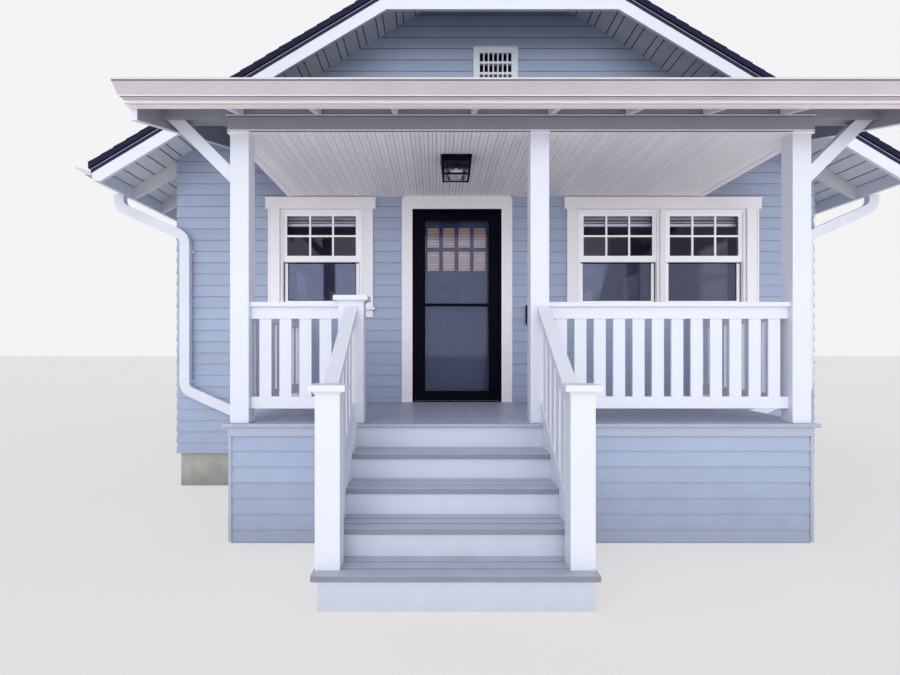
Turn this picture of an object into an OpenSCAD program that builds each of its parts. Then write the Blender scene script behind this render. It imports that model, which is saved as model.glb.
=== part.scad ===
// Single-storey bungalow with a clipped front gable, a full-width porch and a five-riser stair.
// Millimetres, +Z up, front towards -Y. The origin is on the ground under the middle of the building.

/* [House body] */
// Width of the house over its siding
house_w = 6720; // [5600:10:8400]
// Length of the house from front wall to rear wall
house_len = 9865; // [8000:50:13000]
// Thickness of the outside walls
wall_t = 165; // [120:5:220]
// Thickness of the siding that hangs over the floor edge
skirt_t = 22; // [15:1:40]
// Height of the lowest siding edge over the ground
siding_low = 350; // [150:10:450]
// Height of the floor over the ground, inside and on the porch
floor_z = 894; // [750:2:1100]
// Depth of the floor platform
floor_t = 290; // [200:10:360]
// Thickness of the concrete stem wall
found_t = 200; // [150:10:300]
// Clear height of the rooms
room_h = 2436; // [2300:1:2600]
// Thickness of the ceiling slab
ceiling_t = 60; // [40:5:120]

/* [Main roof] */
// Height of the roof boards' underside where they cross the side walls
eave_z = 3460; // [3420:5:3700]
// Rise of the main roof for each unit of run
pitch = 0.6; // [0.45:0.01:0.8]
// Overhang of the roof boards past the side walls
eave_over = 535; // [350:5:700]
// Overhang of the roof past the gable walls
gable_over = 620; // [400:5:800]
// Half width of the clipped gable at its eave
clip_half = 1100; // [600:10:1500]
// Thickness of the roof boards, measured upright
deck_t = 25; // [18:1:40]
// Thickness of the shingle layer, measured upright
shingle_t = 54; // [30:1:80]
// How far the shingles reach past the roof boards
drip = 18; // [10:1:30]
// Depth of the barge boards, measured upright
barge_h = 150; // [110:5:220]
// Thickness of the barge boards
barge_t = 40; // [25:1:60]
// Depth of the rafter tails, measured upright
rafter_h = 160; // [110:5:200]
// Depth of the rafter tails at their outer end
rafter_end_h = 120; // [90:5:160]
// Thickness of one rafter
rafter_t = 45; // [38:1:90]
// Wanted spacing of the rafters
rafter_gap = 610; // [400:10:800]
// Thickness of the eave fascia
fascia_t = 38; // [20:1:50]
// Depth of the eave fascia
fascia_h = 105; // [90:5:180]
// Width of one side of the ridge cap
ridge_w = 150; // [100:5:250]
// Thickness of the ridge cap
ridge_t = 14; // [8:1:30]

/* [Gutters] */
// Width of a gutter at its lip
gutter_w = 158; // [120:1:180]
// Height of a gutter
gutter_h = 76; // [65:1:130]
// Width of a gutter's flat foot
gutter_foot = 70; // [60:1:100]
// Sheet thickness of a gutter
gutter_t = 3; // [2:0.5:5]
// Width of a downspout
spout_w = 102; // [70:1:110]
// Depth of a downspout
spout_d = 76; // [50:1:90]
// Gap between a downspout and the wall, filled by its straps
spout_gap = 20; // [12:1:40]

/* [Windows] */
// Width of a window frame
win_w = 860; // [700:5:1000]
// Height of a window frame
win_h = 1039; // [900:1:1300]
// Height of the window heads and the door head over the floor
head_h = 2033; // [1950:1:2100]
// Face width of the window frame
win_frame = 25; // [18:1:40]
// Face width of a sash
sash_face = 40; // [30:1:60]
// Thickness of a sash
sash_t = 34; // [28:1:45]
// Thickness of the glass
glass_t = 5; // [3:1:8]
// Width of the upright between two windows
mullion = 55; // [40:1:120]
// Width of the casing boards
casing_w = 122; // [80:1:150]
// Thickness of the casing boards
casing_t = 28; // [20:1:40]
// Height of the window sill board
sill_t = 26; // [20:1:45]
// How far a window sill stands out of the wall
sill_out = 62; // [40:1:90]
// Height of the apron under a window sill
apron_h = 77; // [60:1:120]
// Middle of the left front window
win_left_x = -1846; // [-2300:1:-1600]
// Middle of the pair of front windows
win_pair_x = 1762; // [1400:1:2200]

/* [Doors] */
// Middle of the doorway
door_x = -408; // [-500:1:-200]
// Clear width of the doorway between its jambs
door_w = 939; // [850:1:1000]
// Thickness of the jambs
jamb_t = 20; // [16:1:30]
// Height of the sill under the doors
sill_h = 12; // [8:1:25]
// Face width of the metal frame round the outer door
storm_frame = 28; // [20:1:40]
// Thickness of the outer door
storm_t = 40; // [30:1:50]
// Face width of the outer door's stiles and rails
storm_face = 96; // [70:1:130]
// Thickness of the inner door
leaf_t = 44; // [35:1:50]
// Height of the outer door's middle bar over the floor
mid_bar_up = 1022; // [950:1:1100]
// Distance of the end hinges from the outer door's foot and head
hinge_end = 210; // [150:5:300]
// Height of the knobs over the floor
knob_up = 960; // [900:5:1050]
// Running gap round both doors
door_gap = 7; // [6:0.5:10]
// Radius of the hinge knuckles
knuckle_r = 6; // [5:0.5:9]
// Radius of the hinge pins
pin_r = 3; // [2:0.5:4]
// Clearance between a pin and its knuckle
pin_gap = 0.3; // [0.2:0.1:1]

/* [Porch] */
// Depth of the porch floor in front of the house
porch_depth = 1773; // [1500:1:2400]
// Half width of the porch floor
porch_half = 2213; // [1900:1:2600]
// How far the floor boards stand out past the porch skirt in front
porch_nose = 41; // [25:1:60]
// How far the floor boards stand out past the porch skirt at the sides
porch_side_nose = 53; // [25:1:70]
// Thickness of the floor boards
porch_floor_t = 30; // [22:1:45]
// Thickness of the skirt walls
porch_wall_t = 120; // [80:5:160]
// Side of the square porch posts
post = 140; // [110:1:180]
// Distance of the outer posts' middle from the ends of the porch floor
post_set = 113; // [90:1:180]
// Middle of the post beside the stair
post_mid_x = 143; // [50:1:300]
// Height of the porch ceiling over the floor
porch_ceiling_h = 2170; // [2100:1:2400]
// Thickness of the ceiling boards
bead_t = 16; // [12:1:25]
// Depth of the front beam
beam_h = 117; // [90:1:250]
// Thickness of the front beam
beam_t = 160; // [140:1:220]
// Reach of the plate past the ends of the porch floor, up to the side boards
plate_over = 461; // [300:1:560]
// Drop from the top of the front beam down to the plate's underside
plate_lap = 29; // [10:1:60]
// Rise of the porch roof for each unit of run
porch_pitch = 0.257; // [0.2:0.001:0.35]
// Height of the porch roof boards' underside where they meet the wall
porch_roof_z = 3724; // [3600:1:4000]
// Distance of the porch roof's front board from the wall, to its outer face
porch_roof_run = 2160; // [1900:5:2700]
// How far the porch roof boards reach past that front board
porch_deck_over = 12; // [6:1:25]
// How far the porch shingles reach past the porch roof boards
porch_drip = 14; // [8:1:25]
// Thickness of the porch roof boards, measured upright
porch_deck_t = 20; // [16:1:30]
// Thickness of the porch shingles, measured upright
porch_shingle_t = 30; // [20:1:60]
// Depth of the porch side boards, measured upright
porch_barge_h = 181; // [120:1:220]
// Thickness of the porch side boards
porch_barge_t = 46; // [30:1:60]
// Thickness of the front board behind the porch gutter
porch_fascia_t = 77; // [40:1:90]
// Height of the front board's lower edge over the porch ceiling
porch_fascia_low = 21; // [0:1:80]
// Side of the square knee braces
brace = 92; // [70:1:120]

/* [Stair] */
// Middle of the stair
stair_x = -527; // [-800:1:-300]
// Height of the first riser
riser_first = 206; // [150:1:220]
// Level run of one tread
tread_run = 267.5; // [240:0.5:320]
// Thickness of the tread boards
tread_t = 37; // [28:1:50]
// How far a tread stands out past its riser
tread_nose = 22; // [15:1:35]
// Thickness of the riser boards
riser_t = 19; // [16:1:30]
// Gap between the boards of one tread
board_gap = 4; // [3:1:8]
// Half width of the stair between its side boards
stair_half = 685; // [550:5:800]
// Thickness of the side boards
stringer_t = 50; // [38:1:60]
// Height of the side boards over the line of the tread noses
stringer_up = 25; // [10:1:60]
// Half width of the lowest tread
tread_low_half = 797; // [700:1:900]
// Half width of the lowest riser
riser_low_half = 760; // [700:1:860]
// Side of the square newel posts
newel = 140; // [110:1:160]
// Distance of the newels from the stair's middle
newel_half = 715; // [640:1:780]
// Setback of the newels from the lowest nose
newel_back = 70; // [40:1:100]
// Height of the lower newels over the lowest tread
newel_h = 1003; // [850:1:1100]
// Width of the newel at the head of the stair
top_newel_w = 190; // [140:1:200]
// Middle of the newel at the head of the stair
top_newel_x = -1268; // [-1500:1:-1100]
// Height of the newel at the head of the stair over the floor
top_newel_h = 918; // [880:1:1000]
// Overhang of a newel cap
cap_over = 34; // [20:1:45]
// Thickness of a newel cap
cap_t = 36; // [25:1:50]

/* [Railing] */
// Height of the railing's top over the floor
rail_h = 907; // [900:1:1070]
// Thickness of the flat cap
rail_cap_t = 35; // [25:1:50]
// Width of the flat cap
rail_cap_w = 92; // [80:1:140]
// Height of the upper and lower rails
rail_depth = 90; // [70:1:120]
// Thickness of the upper and lower rails
rail_t = 38; // [30:1:50]
// Gap between the lower rail and the floor
rail_low = 104; // [80:1:130]
// Width of a baluster
bal_w = 91; // [60:1:120]
// Thickness of a baluster
bal_t = 20; // [16:1:40]
// Wanted gap between balusters
bal_gap = 54; // [40:1:90]
// Height of the stair handrail over the line of the tread noses
hand_h = 851; // [800:1:950]
// Shift of both stair rails from the newels' middle
hand_shift = -20; // [-30:1:30]

/* [Small pieces] */
// Width of a gable vent over its frame
vent_w = 470; // [380:5:600]
// Height of a gable vent over its frame
vent_h = 451; // [380:1:600]
// Height of the vent's lower edge over the ground
vent_z = 4189; // [4100:1:4300]
// Width of the lantern at the ceiling
lamp_w = 255; // [200:1:300]
// Width of the lantern at its foot
lamp_foot_w = 228; // [180:1:260]
// Height of the lantern
lamp_h = 165; // [140:1:240]
// Sideways place of the lantern
lamp_x = -461; // [-600:1:-300]
// Distance of the lantern's middle from the front wall
lamp_out = 1160; // [800:5:1400]
// Left edge of the letter box
box_x = 316; // [280:1:400]
// Width of the letter box
box_w = 190; // [150:1:300]
// Height of the letter box
box_h = 200; // [150:1:300]
// Depth of the letter box
box_d = 90; // [70:1:130]
// Height of the letter box's foot over the floor
box_up = 816; // [700:1:1000]

/* [Hidden] */
$fn = 32;

white = "#e6e7f0";
blue_grey = "#a3afc6";
soffit_grey = "#8f949e";
tread_grey = "#9aa3b6";
night = "#17182a";
glass_tint = "#8fa3b8";

// Places along Y: the front-most point is the lowest nose, the rear-most the rear shingle edge
nose_reach = porch_depth + 4 * tread_run;
front_y = (nose_reach - house_len - gable_over - drip) / 2;
rear_y = front_y + house_len;
mid_y = (front_y + rear_y) / 2;
barge_y = front_y - gable_over;
half_w = house_w / 2;

// Heights
found_h = floor_z - floor_t;
ceiling_z = floor_z + room_h;
plate_z = ceiling_z + ceiling_t;
head_z = floor_z + head_h;
win_z = head_z - win_h;
rough_half = door_w / 2 + jamb_t;

// Main roof
function roof_z(x) = eave_z + pitch * (half_w - abs(x));
deck_edge = half_w + eave_over;
shingle_edge = deck_edge + drip;
clip_z = roof_z(clip_half);
clip_wall_z = clip_z + pitch * gable_over;
clip_wall_half = clip_half - gable_over;
deck_past_fascia = 15;
gutter_back = deck_edge - deck_past_fascia;
fascia_in = gutter_back - fascia_t;
gutter_gap = 26;
// Clearance of each roof layer over what carries it
lay_gap = 0.2;
gutter_top = roof_z(gutter_back) + gutter_gap;

// Porch roof
function porch_z(out) = porch_roof_z - porch_pitch * out;
porch_ceiling_z = floor_z + porch_ceiling_h;
beam_z = porch_ceiling_z + bead_t;
skirt_half = porch_half - porch_side_nose;
skirt_out = porch_depth - porch_nose;
post_out = skirt_out;
post_x = porch_half - post_set;
plate_end = porch_half + plate_over;
beam_front = post_out + (beam_t - post) / 2;
plate_low = beam_z + beam_h - plate_lap;
porch_edge = plate_end + porch_barge_t;
beam_past_post = 18;
beam_end = post_x + post / 2 + beam_past_post;

// Stair
riser = (floor_z - riser_first) / 4;
nose_slope = riser / tread_run;
function tread_z(k) = riser_first + (k - 1) * riser;
function nose_out(k) = porch_depth + (5 - k) * tread_run;
function nose_line(out) = floor_z - nose_slope * (out - porch_depth);
newel_front = nose_out(1) - newel_back;

// The same place for a wall's pieces: x along the wall, y into the house, seen from outside
module at_front() translate([0, front_y, 0]) children();
module at_rear() translate([0, rear_y, 0]) rotate([0, 0, 180]) children();
module at_left() translate([-half_w, mid_y, 0]) rotate([0, 0, -90]) children();
module at_right() translate([half_w, mid_y, 0]) rotate([0, 0, 90]) children();

// A box given by its two corners
module block(a, b) translate(a) cube(b - a);

// An outline in X and Z, carried along Y from y0 to y1
module along_y(points, y0, y1)
    translate([0, y1, 0]) rotate([90, 0, 0]) linear_extrude(y1 - y0) polygon(points);

// An outline in Y and Z, carried along X from x0 to x1
module along_x(points, x0, x1)
    translate([x0, 0, 0]) rotate([90, 0, 90]) linear_extrude(x1 - x0) polygon(points);

// A copy on each side of the house
module both_sides() {
    children();
    mirror([1, 0, 0]) children();
}

// Window places in each wall
pair_step = (win_w + mullion) / 2;
front_windows = [win_left_x, win_pair_x - pair_step, win_pair_x + pair_step];
side_windows = [-3100, 100, 3200];
rear_windows = [-1700, 1700];

module window_holes(places)
    for (x = places)
        block([x - win_w / 2, -1, win_z], [x + win_w / 2, wall_t + 1, head_z]);

module foundation()
    color("#b4b2ac")
        difference() {
            block([-half_w + skirt_t, front_y + skirt_t, 0], [half_w - skirt_t, rear_y - skirt_t, found_h]);
            block([-half_w + skirt_t + found_t, front_y + skirt_t + found_t, -1],
                  [half_w - skirt_t - found_t, rear_y - skirt_t - found_t, found_h + 1]);
        }

module floor()
    color("#a58a68")
        block([-half_w + skirt_t, front_y + skirt_t, found_h],
              [half_w - skirt_t, rear_y - skirt_t, floor_z]);

module ceiling()
    color("#e9e8e4")
        block([-half_w + wall_t, front_y + wall_t, ceiling_z],
              [half_w - wall_t, rear_y - wall_t, plate_z]);

module front_side(x0, x1)
    color(blue_grey)
        at_front() difference() {
            union() {
                block([x0, 0, floor_z], [x1, wall_t, plate_z]);
                block([x0, 0, siding_low], [x1, skirt_t, floor_z]);
            }
            window_holes(front_windows);
        }

module front_wall_left() front_side(-half_w, door_x - rough_half);
module front_wall_right() front_side(door_x + rough_half, half_w);

module front_wall_over_door()
    color(blue_grey)
        at_front() block([door_x - rough_half, 0, head_z + jamb_t], [door_x + rough_half, wall_t, plate_z]);

vent_frame = 68;
module vent_hole()
    block([-vent_w / 2 + vent_frame, -1, vent_z + vent_frame],
          [vent_w / 2 - vent_frame, wall_t + 1, vent_z + vent_h - vent_frame]);

gable_outline = [[-half_w, plate_z], [-half_w, eave_z], [-clip_wall_half, clip_wall_z],
                 [clip_wall_half, clip_wall_z], [half_w, eave_z], [half_w, plate_z]];

module front_gable()
    color(blue_grey)
        at_front() difference() {
            along_y(gable_outline, 0, wall_t);
            vent_hole();
        }

module rear_wall()
    color(blue_grey)
        at_rear() difference() {
            union() {
                along_y(gable_outline, 0, wall_t);
                block([-half_w, 0, floor_z], [half_w, wall_t, plate_z]);
                block([-half_w, 0, siding_low], [half_w, skirt_t, floor_z]);
            }
            window_holes(rear_windows);
            vent_hole();
        }

module side_wall() {
    inner = house_len / 2 - wall_t;
    outer = house_len / 2 - skirt_t;
    difference() {
        union() {
            along_x([[0, floor_z], [0, eave_z], [wall_t, eave_z + pitch * wall_t], [wall_t, floor_z]],
                    -inner, inner);
            block([-outer, 0, siding_low], [outer, skirt_t, floor_z]);
        }
        window_holes(side_windows);
    }
}

module left_wall() color(blue_grey) at_left() side_wall();
module right_wall() color(blue_grey) at_right() side_wall();

vent_out = 24;
vent_slots = 7;
vent_rows = 3;
vent_bar = 13;
vent_rail = 24;
module gable_vent() {
    clear_w = vent_w - 2 * vent_frame;
    clear_h = vent_h - 2 * vent_frame;
    slot_w = (clear_w - (vent_slots - 1) * vent_bar) / vent_slots;
    slot_h = (clear_h - (vent_rows - 1) * vent_rail) / vent_rows;
    difference() {
        union() {
            block([-vent_w / 2, -vent_out, vent_z], [vent_w / 2, 0, vent_z + vent_h]);
            block([-clear_w / 2, 0, vent_z + vent_frame],
                  [clear_w / 2, vent_out, vent_z + vent_h - vent_frame]);
        }
        for (i = [0 : vent_slots - 1], j = [0 : vent_rows - 1])
            translate([-clear_w / 2 + i * (slot_w + vent_bar), -vent_out - 1,
                       vent_z + vent_frame + j * (slot_h + vent_rail)])
                cube([slot_w, 2 * vent_out + 2, slot_h]);
    }
}

module gable_vents()
    color(white) {
        at_front() gable_vent();
        at_rear() gable_vent();
    }

// One side of the main roof as a layer from lift to lift + t over the boards' underside
module roof_side(lift, t, edge, reach) {
    y0 = barge_y - reach;
    y1 = rear_y + gable_over + reach;
    c = clip_half + reach;
    intersection() {
        along_y([[-edge, roof_z(edge) + lift], [-edge, roof_z(edge) + lift + t],
                 [0, roof_z(0) + lift + t], [0, roof_z(0) + lift]], y0, y1);
        linear_extrude(2 * roof_z(0))
            polygon([[-edge, y0], [-c, y0], [0, y0 + c], [0, y1 - c], [-c, y1], [-edge, y1]]);
    }
}

// The small sloping triangle over the front gable
module roof_clip(lift, t, reach) {
    y0 = barge_y - reach;
    c = clip_half + reach;
    low = clip_z - pitch * reach + lift;
    intersection() {
        along_x([[y0, low], [y0, low + t], [y0 + c, low + t + pitch * c], [y0 + c, low + pitch * c]], -c, c);
        linear_extrude(2 * roof_z(0)) polygon([[-c, y0], [c, y0], [0, y0 + c]]);
    }
}

// The same on the rear gable
module front_and_rear() {
    children();
    translate([0, 2 * mid_y, 0]) mirror([0, 1, 0]) children();
}

module roof_boards_left() color(soffit_grey) roof_side(lay_gap, deck_t, deck_edge, 0);
module roof_boards_right() color(soffit_grey) mirror([1, 0, 0]) roof_side(lay_gap, deck_t, deck_edge, 0);
module roof_boards_clips() color(soffit_grey) front_and_rear() roof_clip(lay_gap, deck_t, 0);

shingle_lift = deck_t + 2 * lay_gap;
module shingles_left() color(night) roof_side(shingle_lift, shingle_t, shingle_edge, drip);
module shingles_right()
    color(night) mirror([1, 0, 0]) roof_side(shingle_lift, shingle_t, shingle_edge, drip);
module shingles_clips() color(night) front_and_rear() roof_clip(shingle_lift, shingle_t, drip);

module ridge_cap() {
    top = roof_z(0) + shingle_lift + shingle_t + lay_gap;
    low = top - pitch * ridge_w;
    color(night)
        along_y([[-ridge_w, low], [-ridge_w, low + ridge_t], [0, top + ridge_t],
                 [ridge_w, low + ridge_t], [ridge_w, low], [0, top]],
                barge_y + clip_half, rear_y + gable_over - clip_half);
}

// The board's lower corners are cut level with the foot of the fascia
module barge_board() {
    end = gutter_back;
    intersection() {
        along_y([[-end, roof_z(end) - barge_h], [-end, roof_z(end)], [-clip_half, clip_z],
                 [clip_half, clip_z], [end, roof_z(end)], [end, roof_z(end) - barge_h],
                 [clip_half, clip_z - barge_h], [-clip_half, clip_z - barge_h]],
                barge_y, barge_y + barge_t);
        block([-end, barge_y, roof_z(end) - fascia_h], [end, barge_y + barge_t, clip_z]);
    }
}

module barge_boards() color(white) front_and_rear() barge_board();

tail_inset = 30;
tail_run = house_len - 2 * tail_inset - rafter_t;
tail_count = round(tail_run / rafter_gap);

module rafter_tails()
    color(soffit_grey)
        both_sides()
            for (i = [0 : tail_count])
                translate([0, front_y + tail_inset + i * tail_run / tail_count, 0])
                    along_y([[-fascia_in, roof_z(fascia_in) - rafter_end_h], [-fascia_in, roof_z(fascia_in)],
                             [-half_w, eave_z], [-half_w, eave_z - rafter_h]], 0, rafter_t);

module eave_fascias()
    color(white)
        both_sides()
            along_y([[-gutter_back, roof_z(gutter_back) - fascia_h], [-gutter_back, roof_z(gutter_back)],
                     [-fascia_in, roof_z(fascia_in)], [-fascia_in, roof_z(gutter_back) - fascia_h]],
                    barge_y + barge_t, rear_y + gable_over - barge_t);

// Gutter: flat foot, slanting front under an upright lip, low back wall at zero
gutter_lip = 12;
lip_out = 4;
gutter_back_drop = 48;
porch_gutter_lift = 18;
porch_gutter_top = porch_z(porch_roof_run) + porch_gutter_lift;
gutter_outline = [[0, gutter_h - gutter_back_drop], [0, 0], [gutter_foot, 0],
                  [gutter_w - lip_out, gutter_h - gutter_lip], [gutter_w, gutter_h - gutter_lip],
                  [gutter_w, gutter_h]];

module gutter_profile() {
    lean = (gutter_w - lip_out - gutter_foot) / (gutter_h - gutter_lip);
    level_t = gutter_t * sqrt(1 + lean * lean);
    lip_z = gutter_h - gutter_lip + gutter_t;
    function inner_x(z) = gutter_foot + lean * z - level_t;
    difference() {
        polygon(gutter_outline);
        polygon([[gutter_t, gutter_h + 1], [gutter_t, gutter_t], [inner_x(gutter_t), gutter_t],
                 [inner_x(lip_z), lip_z], [gutter_w - gutter_t, lip_z],
                 [gutter_w - gutter_t, gutter_h + 1]]);
    }
}

module gutter(length) {
    rotate([90, 0, 0]) linear_extrude(length) gutter_profile();
    for (y = [0, length - gutter_t])
        translate([0, -y, 0]) rotate([90, 0, 0]) linear_extrude(gutter_t) polygon(gutter_outline);
}

eave_gutter_len = house_len + 2 * gable_over;
module eave_gutters()
    color(white)
        both_sides()
            translate([gutter_back, rear_y + gable_over, gutter_top - gutter_h]) gutter(eave_gutter_len);

module porch_gutter()
    color(white)
        translate([porch_edge, front_y - porch_roof_run, porch_gutter_top - gutter_h])
            rotate([0, 0, -90]) gutter(2 * porch_edge);

// Points of a bend in X and Z: the corner b between a and c, rounded to radius r
function bend(a, b, c, r) =
    let (u = (a - b) / norm(a - b), v = (c - b) / norm(c - b),
         half = acos(u * v) / 2, reach = r / tan(half),
         o = b + (u + v) / norm(u + v) * r / sin(half),
         s = b + u * reach - o, e = b + v * reach - o,
         turn = acos((s * e) / (r * r)), way = s[0] * e[1] - s[1] * e[0] > 0 ? 1 : -1)
    [for (i = [0 : 4]) let (t = way * turn * i / 4)
        o + [s[0] * cos(t) - s[1] * sin(t), s[0] * sin(t) + s[1] * cos(t)]];

// Points beside a route at the distance d
function beside(route, d) =
    [for (i = [0 : len(route) - 1])
        let (a = route[max(i - 1, 0)], b = route[min(i + 1, len(route) - 1)], t = (b - a) / norm(b - a))
        route[i] + d * [-t[1], t[0]]];

function backwards(points) = [for (i = [len(points) - 1 : -1 : 0]) points[i]];

// Route of a downspout: outlet, slanting offset, long drop, slanting offset, foot
outlet_w = 56;
outlet_h = 38;
outlet_x = gutter_back + gutter_foot / 2;
spout_past_fascia = 3;
spout_top = gutter_top - gutter_h - outlet_h;
spout_out_x = gutter_back + spout_past_fascia + spout_w / 2;
spout_in = 110;
spout_past_porch = 440;
spout_outlet = 127;
spout_over_floor = 135;
spout_foot_z = 60;
spout_bend = 110;
spout_slant = 0.45;
spout_wall_x = half_w - spout_in;
spout_foot_x = skirt_half + spout_past_porch;
spout_offset_z = spout_top - spout_outlet;
spout_low_z = floor_z + spout_over_floor;
spout_knots = [[spout_out_x, spout_top], [spout_out_x, spout_offset_z],
               [spout_wall_x, spout_offset_z - spout_slant * (spout_out_x - spout_wall_x)],
               [spout_wall_x, spout_low_z],
               [spout_foot_x, spout_low_z - spout_slant * (spout_wall_x - spout_foot_x)],
               [spout_foot_x, spout_foot_z]];
spout_route = concat([spout_knots[0]],
                     [for (i = [1 : 4])
                         each bend(spout_knots[i - 1], spout_knots[i], spout_knots[i + 1], spout_bend)],
                     [spout_knots[5]]);
strap_up = 70;
strap_drop = 470;
strap_zs = [spout_offset_z - strap_drop, spout_low_z + strap_up];
strap_h = 26;
strap_over = 14;

module downspouts()
    color(white)
        both_sides()
            translate([0, front_y, 0]) {
                along_y(concat(beside(spout_route, spout_w / 2),
                               backwards(beside(spout_route, -spout_w / 2))),
                        -spout_gap - spout_d, -spout_gap);
                translate([outlet_x, -spout_gap - spout_d / 2, spout_top])
                    block([-outlet_w / 2, -outlet_w / 2, 0], [outlet_w / 2, outlet_w / 2, outlet_h]);
                for (z = strap_zs)
                    block([spout_wall_x - spout_w / 2 - strap_over, -spout_gap, z],
                          [spout_wall_x + spout_w / 2 + strap_over, 0, z + strap_h]);
            }

// A frame of four bars round an opening, in X and Z, from y0 to y1
module bars(x0, x1, z0, z1, side, top, low, y0, y1)
    difference() {
        block([x0, y0, z0], [x1, y1, z1]);
        block([x0 + side, y0 - 1, z0 + low], [x1 - side, y1 + 1, z1 - top]);
    }

// Sizes of the sashes: the upper one runs in the outer track, the lower one behind it
win_depth = 110;
meet = 66;
meet_z = (win_z + head_z) / 2;
upper_y = 22;
lower_y = upper_y + sash_t;
low_rail = 52;
pane_set = 15;
glass_half = win_w / 2 - win_frame - sash_face;

module window_unit() {
    bars(-win_w / 2, win_w / 2, win_z, head_z, win_frame, win_frame, win_frame, 0, win_depth);
    bars(-win_w / 2 + win_frame, win_w / 2 - win_frame, meet_z - meet / 2, head_z - win_frame,
         sash_face, sash_face, meet, upper_y, upper_y + sash_t);
    bars(-win_w / 2 + win_frame, win_w / 2 - win_frame, win_z + win_frame, meet_z + meet / 2,
         sash_face, meet, low_rail, lower_y, lower_y + sash_t);
}

module window_panes() {
    block([-glass_half, upper_y + pane_set, meet_z + meet / 2],
          [glass_half, upper_y + pane_set + glass_t, head_z - win_frame - sash_face]);
    block([-glass_half, lower_y + pane_set, win_z + win_frame + low_rail],
          [glass_half, lower_y + pane_set + glass_t, meet_z - meet / 2]);
}

// Something at each window of the house
module each_window() {
    at_front() for (x = front_windows) translate([x, 0, 0]) children();
    at_left() for (x = side_windows) translate([x, 0, 0]) children();
    at_right() for (x = side_windows) translate([x, 0, 0]) children();
    at_rear() for (x = rear_windows) translate([x, 0, 0]) children();
}

module window_frames()
    color(white) each_window() window_unit();

module window_glass() color(glass_tint, 0.5) each_window() window_panes();

head_board = 123;
head_over = 28;
head_thicker = 6;
horn = 22;
// Casing boards round an opening of half width w: two sides, a head, a sill and an apron
module casing(w) {
    for (s = [-1, 1])
        translate([s * (w + casing_w / 2), 0, 0])
            block([-casing_w / 2, -casing_t, win_z], [casing_w / 2, 0, head_z]);
    block([-w - casing_w - head_over, -casing_t - head_thicker, head_z],
          [w + casing_w + head_over, 0, head_z + head_board]);
    block([-w - casing_w - horn, -sill_out, win_z - sill_t], [w + casing_w + horn, 0, win_z]);
    block([-w - casing_w, -casing_t, win_z - sill_t - apron_h], [w + casing_w, 0, win_z - sill_t]);
}

module window_casings()
    color(white) {
        at_front() {
            translate([win_left_x, 0, 0]) casing(win_w / 2);
            translate([win_pair_x, 0, 0]) casing(win_w + mullion / 2);
            block([win_pair_x - mullion / 2, -casing_t, win_z], [win_pair_x + mullion / 2, 0, head_z]);
        }
        at_left() for (x = side_windows) translate([x, 0, 0]) casing(win_w / 2);
        at_right() for (x = side_windows) translate([x, 0, 0]) casing(win_w / 2);
        at_rear() for (x = rear_windows) translate([x, 0, 0]) casing(win_w / 2);
    }

// The doorway: white casing, jambs with stops, a dark metal frame and two doors
door_l = door_x - door_w / 2;
door_r = door_x + door_w / 2;
door_casing_w = 112;
stop_y = 104;
stop_t = 12;

module door_casing()
    color(white)
        at_front() {
            block([door_l - door_casing_w, -casing_t, floor_z], [door_l, 0, head_z]);
            block([door_r, -casing_t, floor_z], [door_r + door_casing_w, 0, head_z]);
            block([door_l - door_casing_w, -casing_t, head_z],
                  [door_r + door_casing_w, 0, porch_ceiling_z]);
        }

module door_frame()
    color(white)
        at_front() {
            difference() {
                block([door_l - jamb_t, 0, floor_z], [door_r + jamb_t, wall_t, head_z + jamb_t]);
                block([door_l, -1, floor_z + sill_h], [door_r, wall_t + 1, head_z]);
            }
            bars(door_l, door_r, floor_z, head_z, stop_t, stop_t, sill_h, stop_y, stop_y + stop_t);
        }

// Front and back faces of the two doors, measured into the house from the siding
storm_y = -25;
leaf_y = wall_t - leaf_t;
storm_l = door_l + storm_frame + door_gap;
storm_r = door_r - storm_frame - door_gap;
storm_top = head_z - storm_frame - door_gap;
door_low = floor_z + sill_h + door_gap;
leaf_l = door_l + door_gap;
leaf_r = door_r - door_gap;
leaf_top = head_z - door_gap;

module storm_frame_bars()
    color(night)
        at_front() difference() {
            block([door_l, storm_y, floor_z + sill_h], [door_r, storm_y + storm_t, head_z]);
            block([door_l + storm_frame, storm_y - 1, floor_z], [door_r - storm_frame, storm_y + storm_t + 1,
                  head_z - storm_frame]);
        }

mid_bar_z = floor_z + mid_bar_up;
mid_bar_h = 22;
storm_low_rail = 94;
storm_top_rail = 84;
storm_pane_set = 18;
storm_glass_top = storm_top - storm_top_rail;

module storm_door()
    color(night)
        at_front() difference() {
            block([storm_l, storm_y, door_low], [storm_r, storm_y + storm_t, storm_top]);
            block([storm_l + storm_face, storm_y - 1, door_low + storm_low_rail],
                  [storm_r - storm_face, storm_y + storm_t + 1, mid_bar_z - mid_bar_h / 2]);
            block([storm_l + storm_face, storm_y - 1, mid_bar_z + mid_bar_h / 2],
                  [storm_r - storm_face, storm_y + storm_t + 1, storm_glass_top]);
        }

module storm_door_glass()
    color(glass_tint, 0.5)
        at_front() {
            block([storm_l + storm_face, storm_y + storm_pane_set, door_low + storm_low_rail],
                  [storm_r - storm_face, storm_y + storm_pane_set + glass_t, mid_bar_z - mid_bar_h / 2]);
            block([storm_l + storm_face, storm_y + storm_pane_set, mid_bar_z + mid_bar_h / 2],
                  [storm_r - storm_face, storm_y + storm_pane_set + glass_t, storm_glass_top]);
        }

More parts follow.
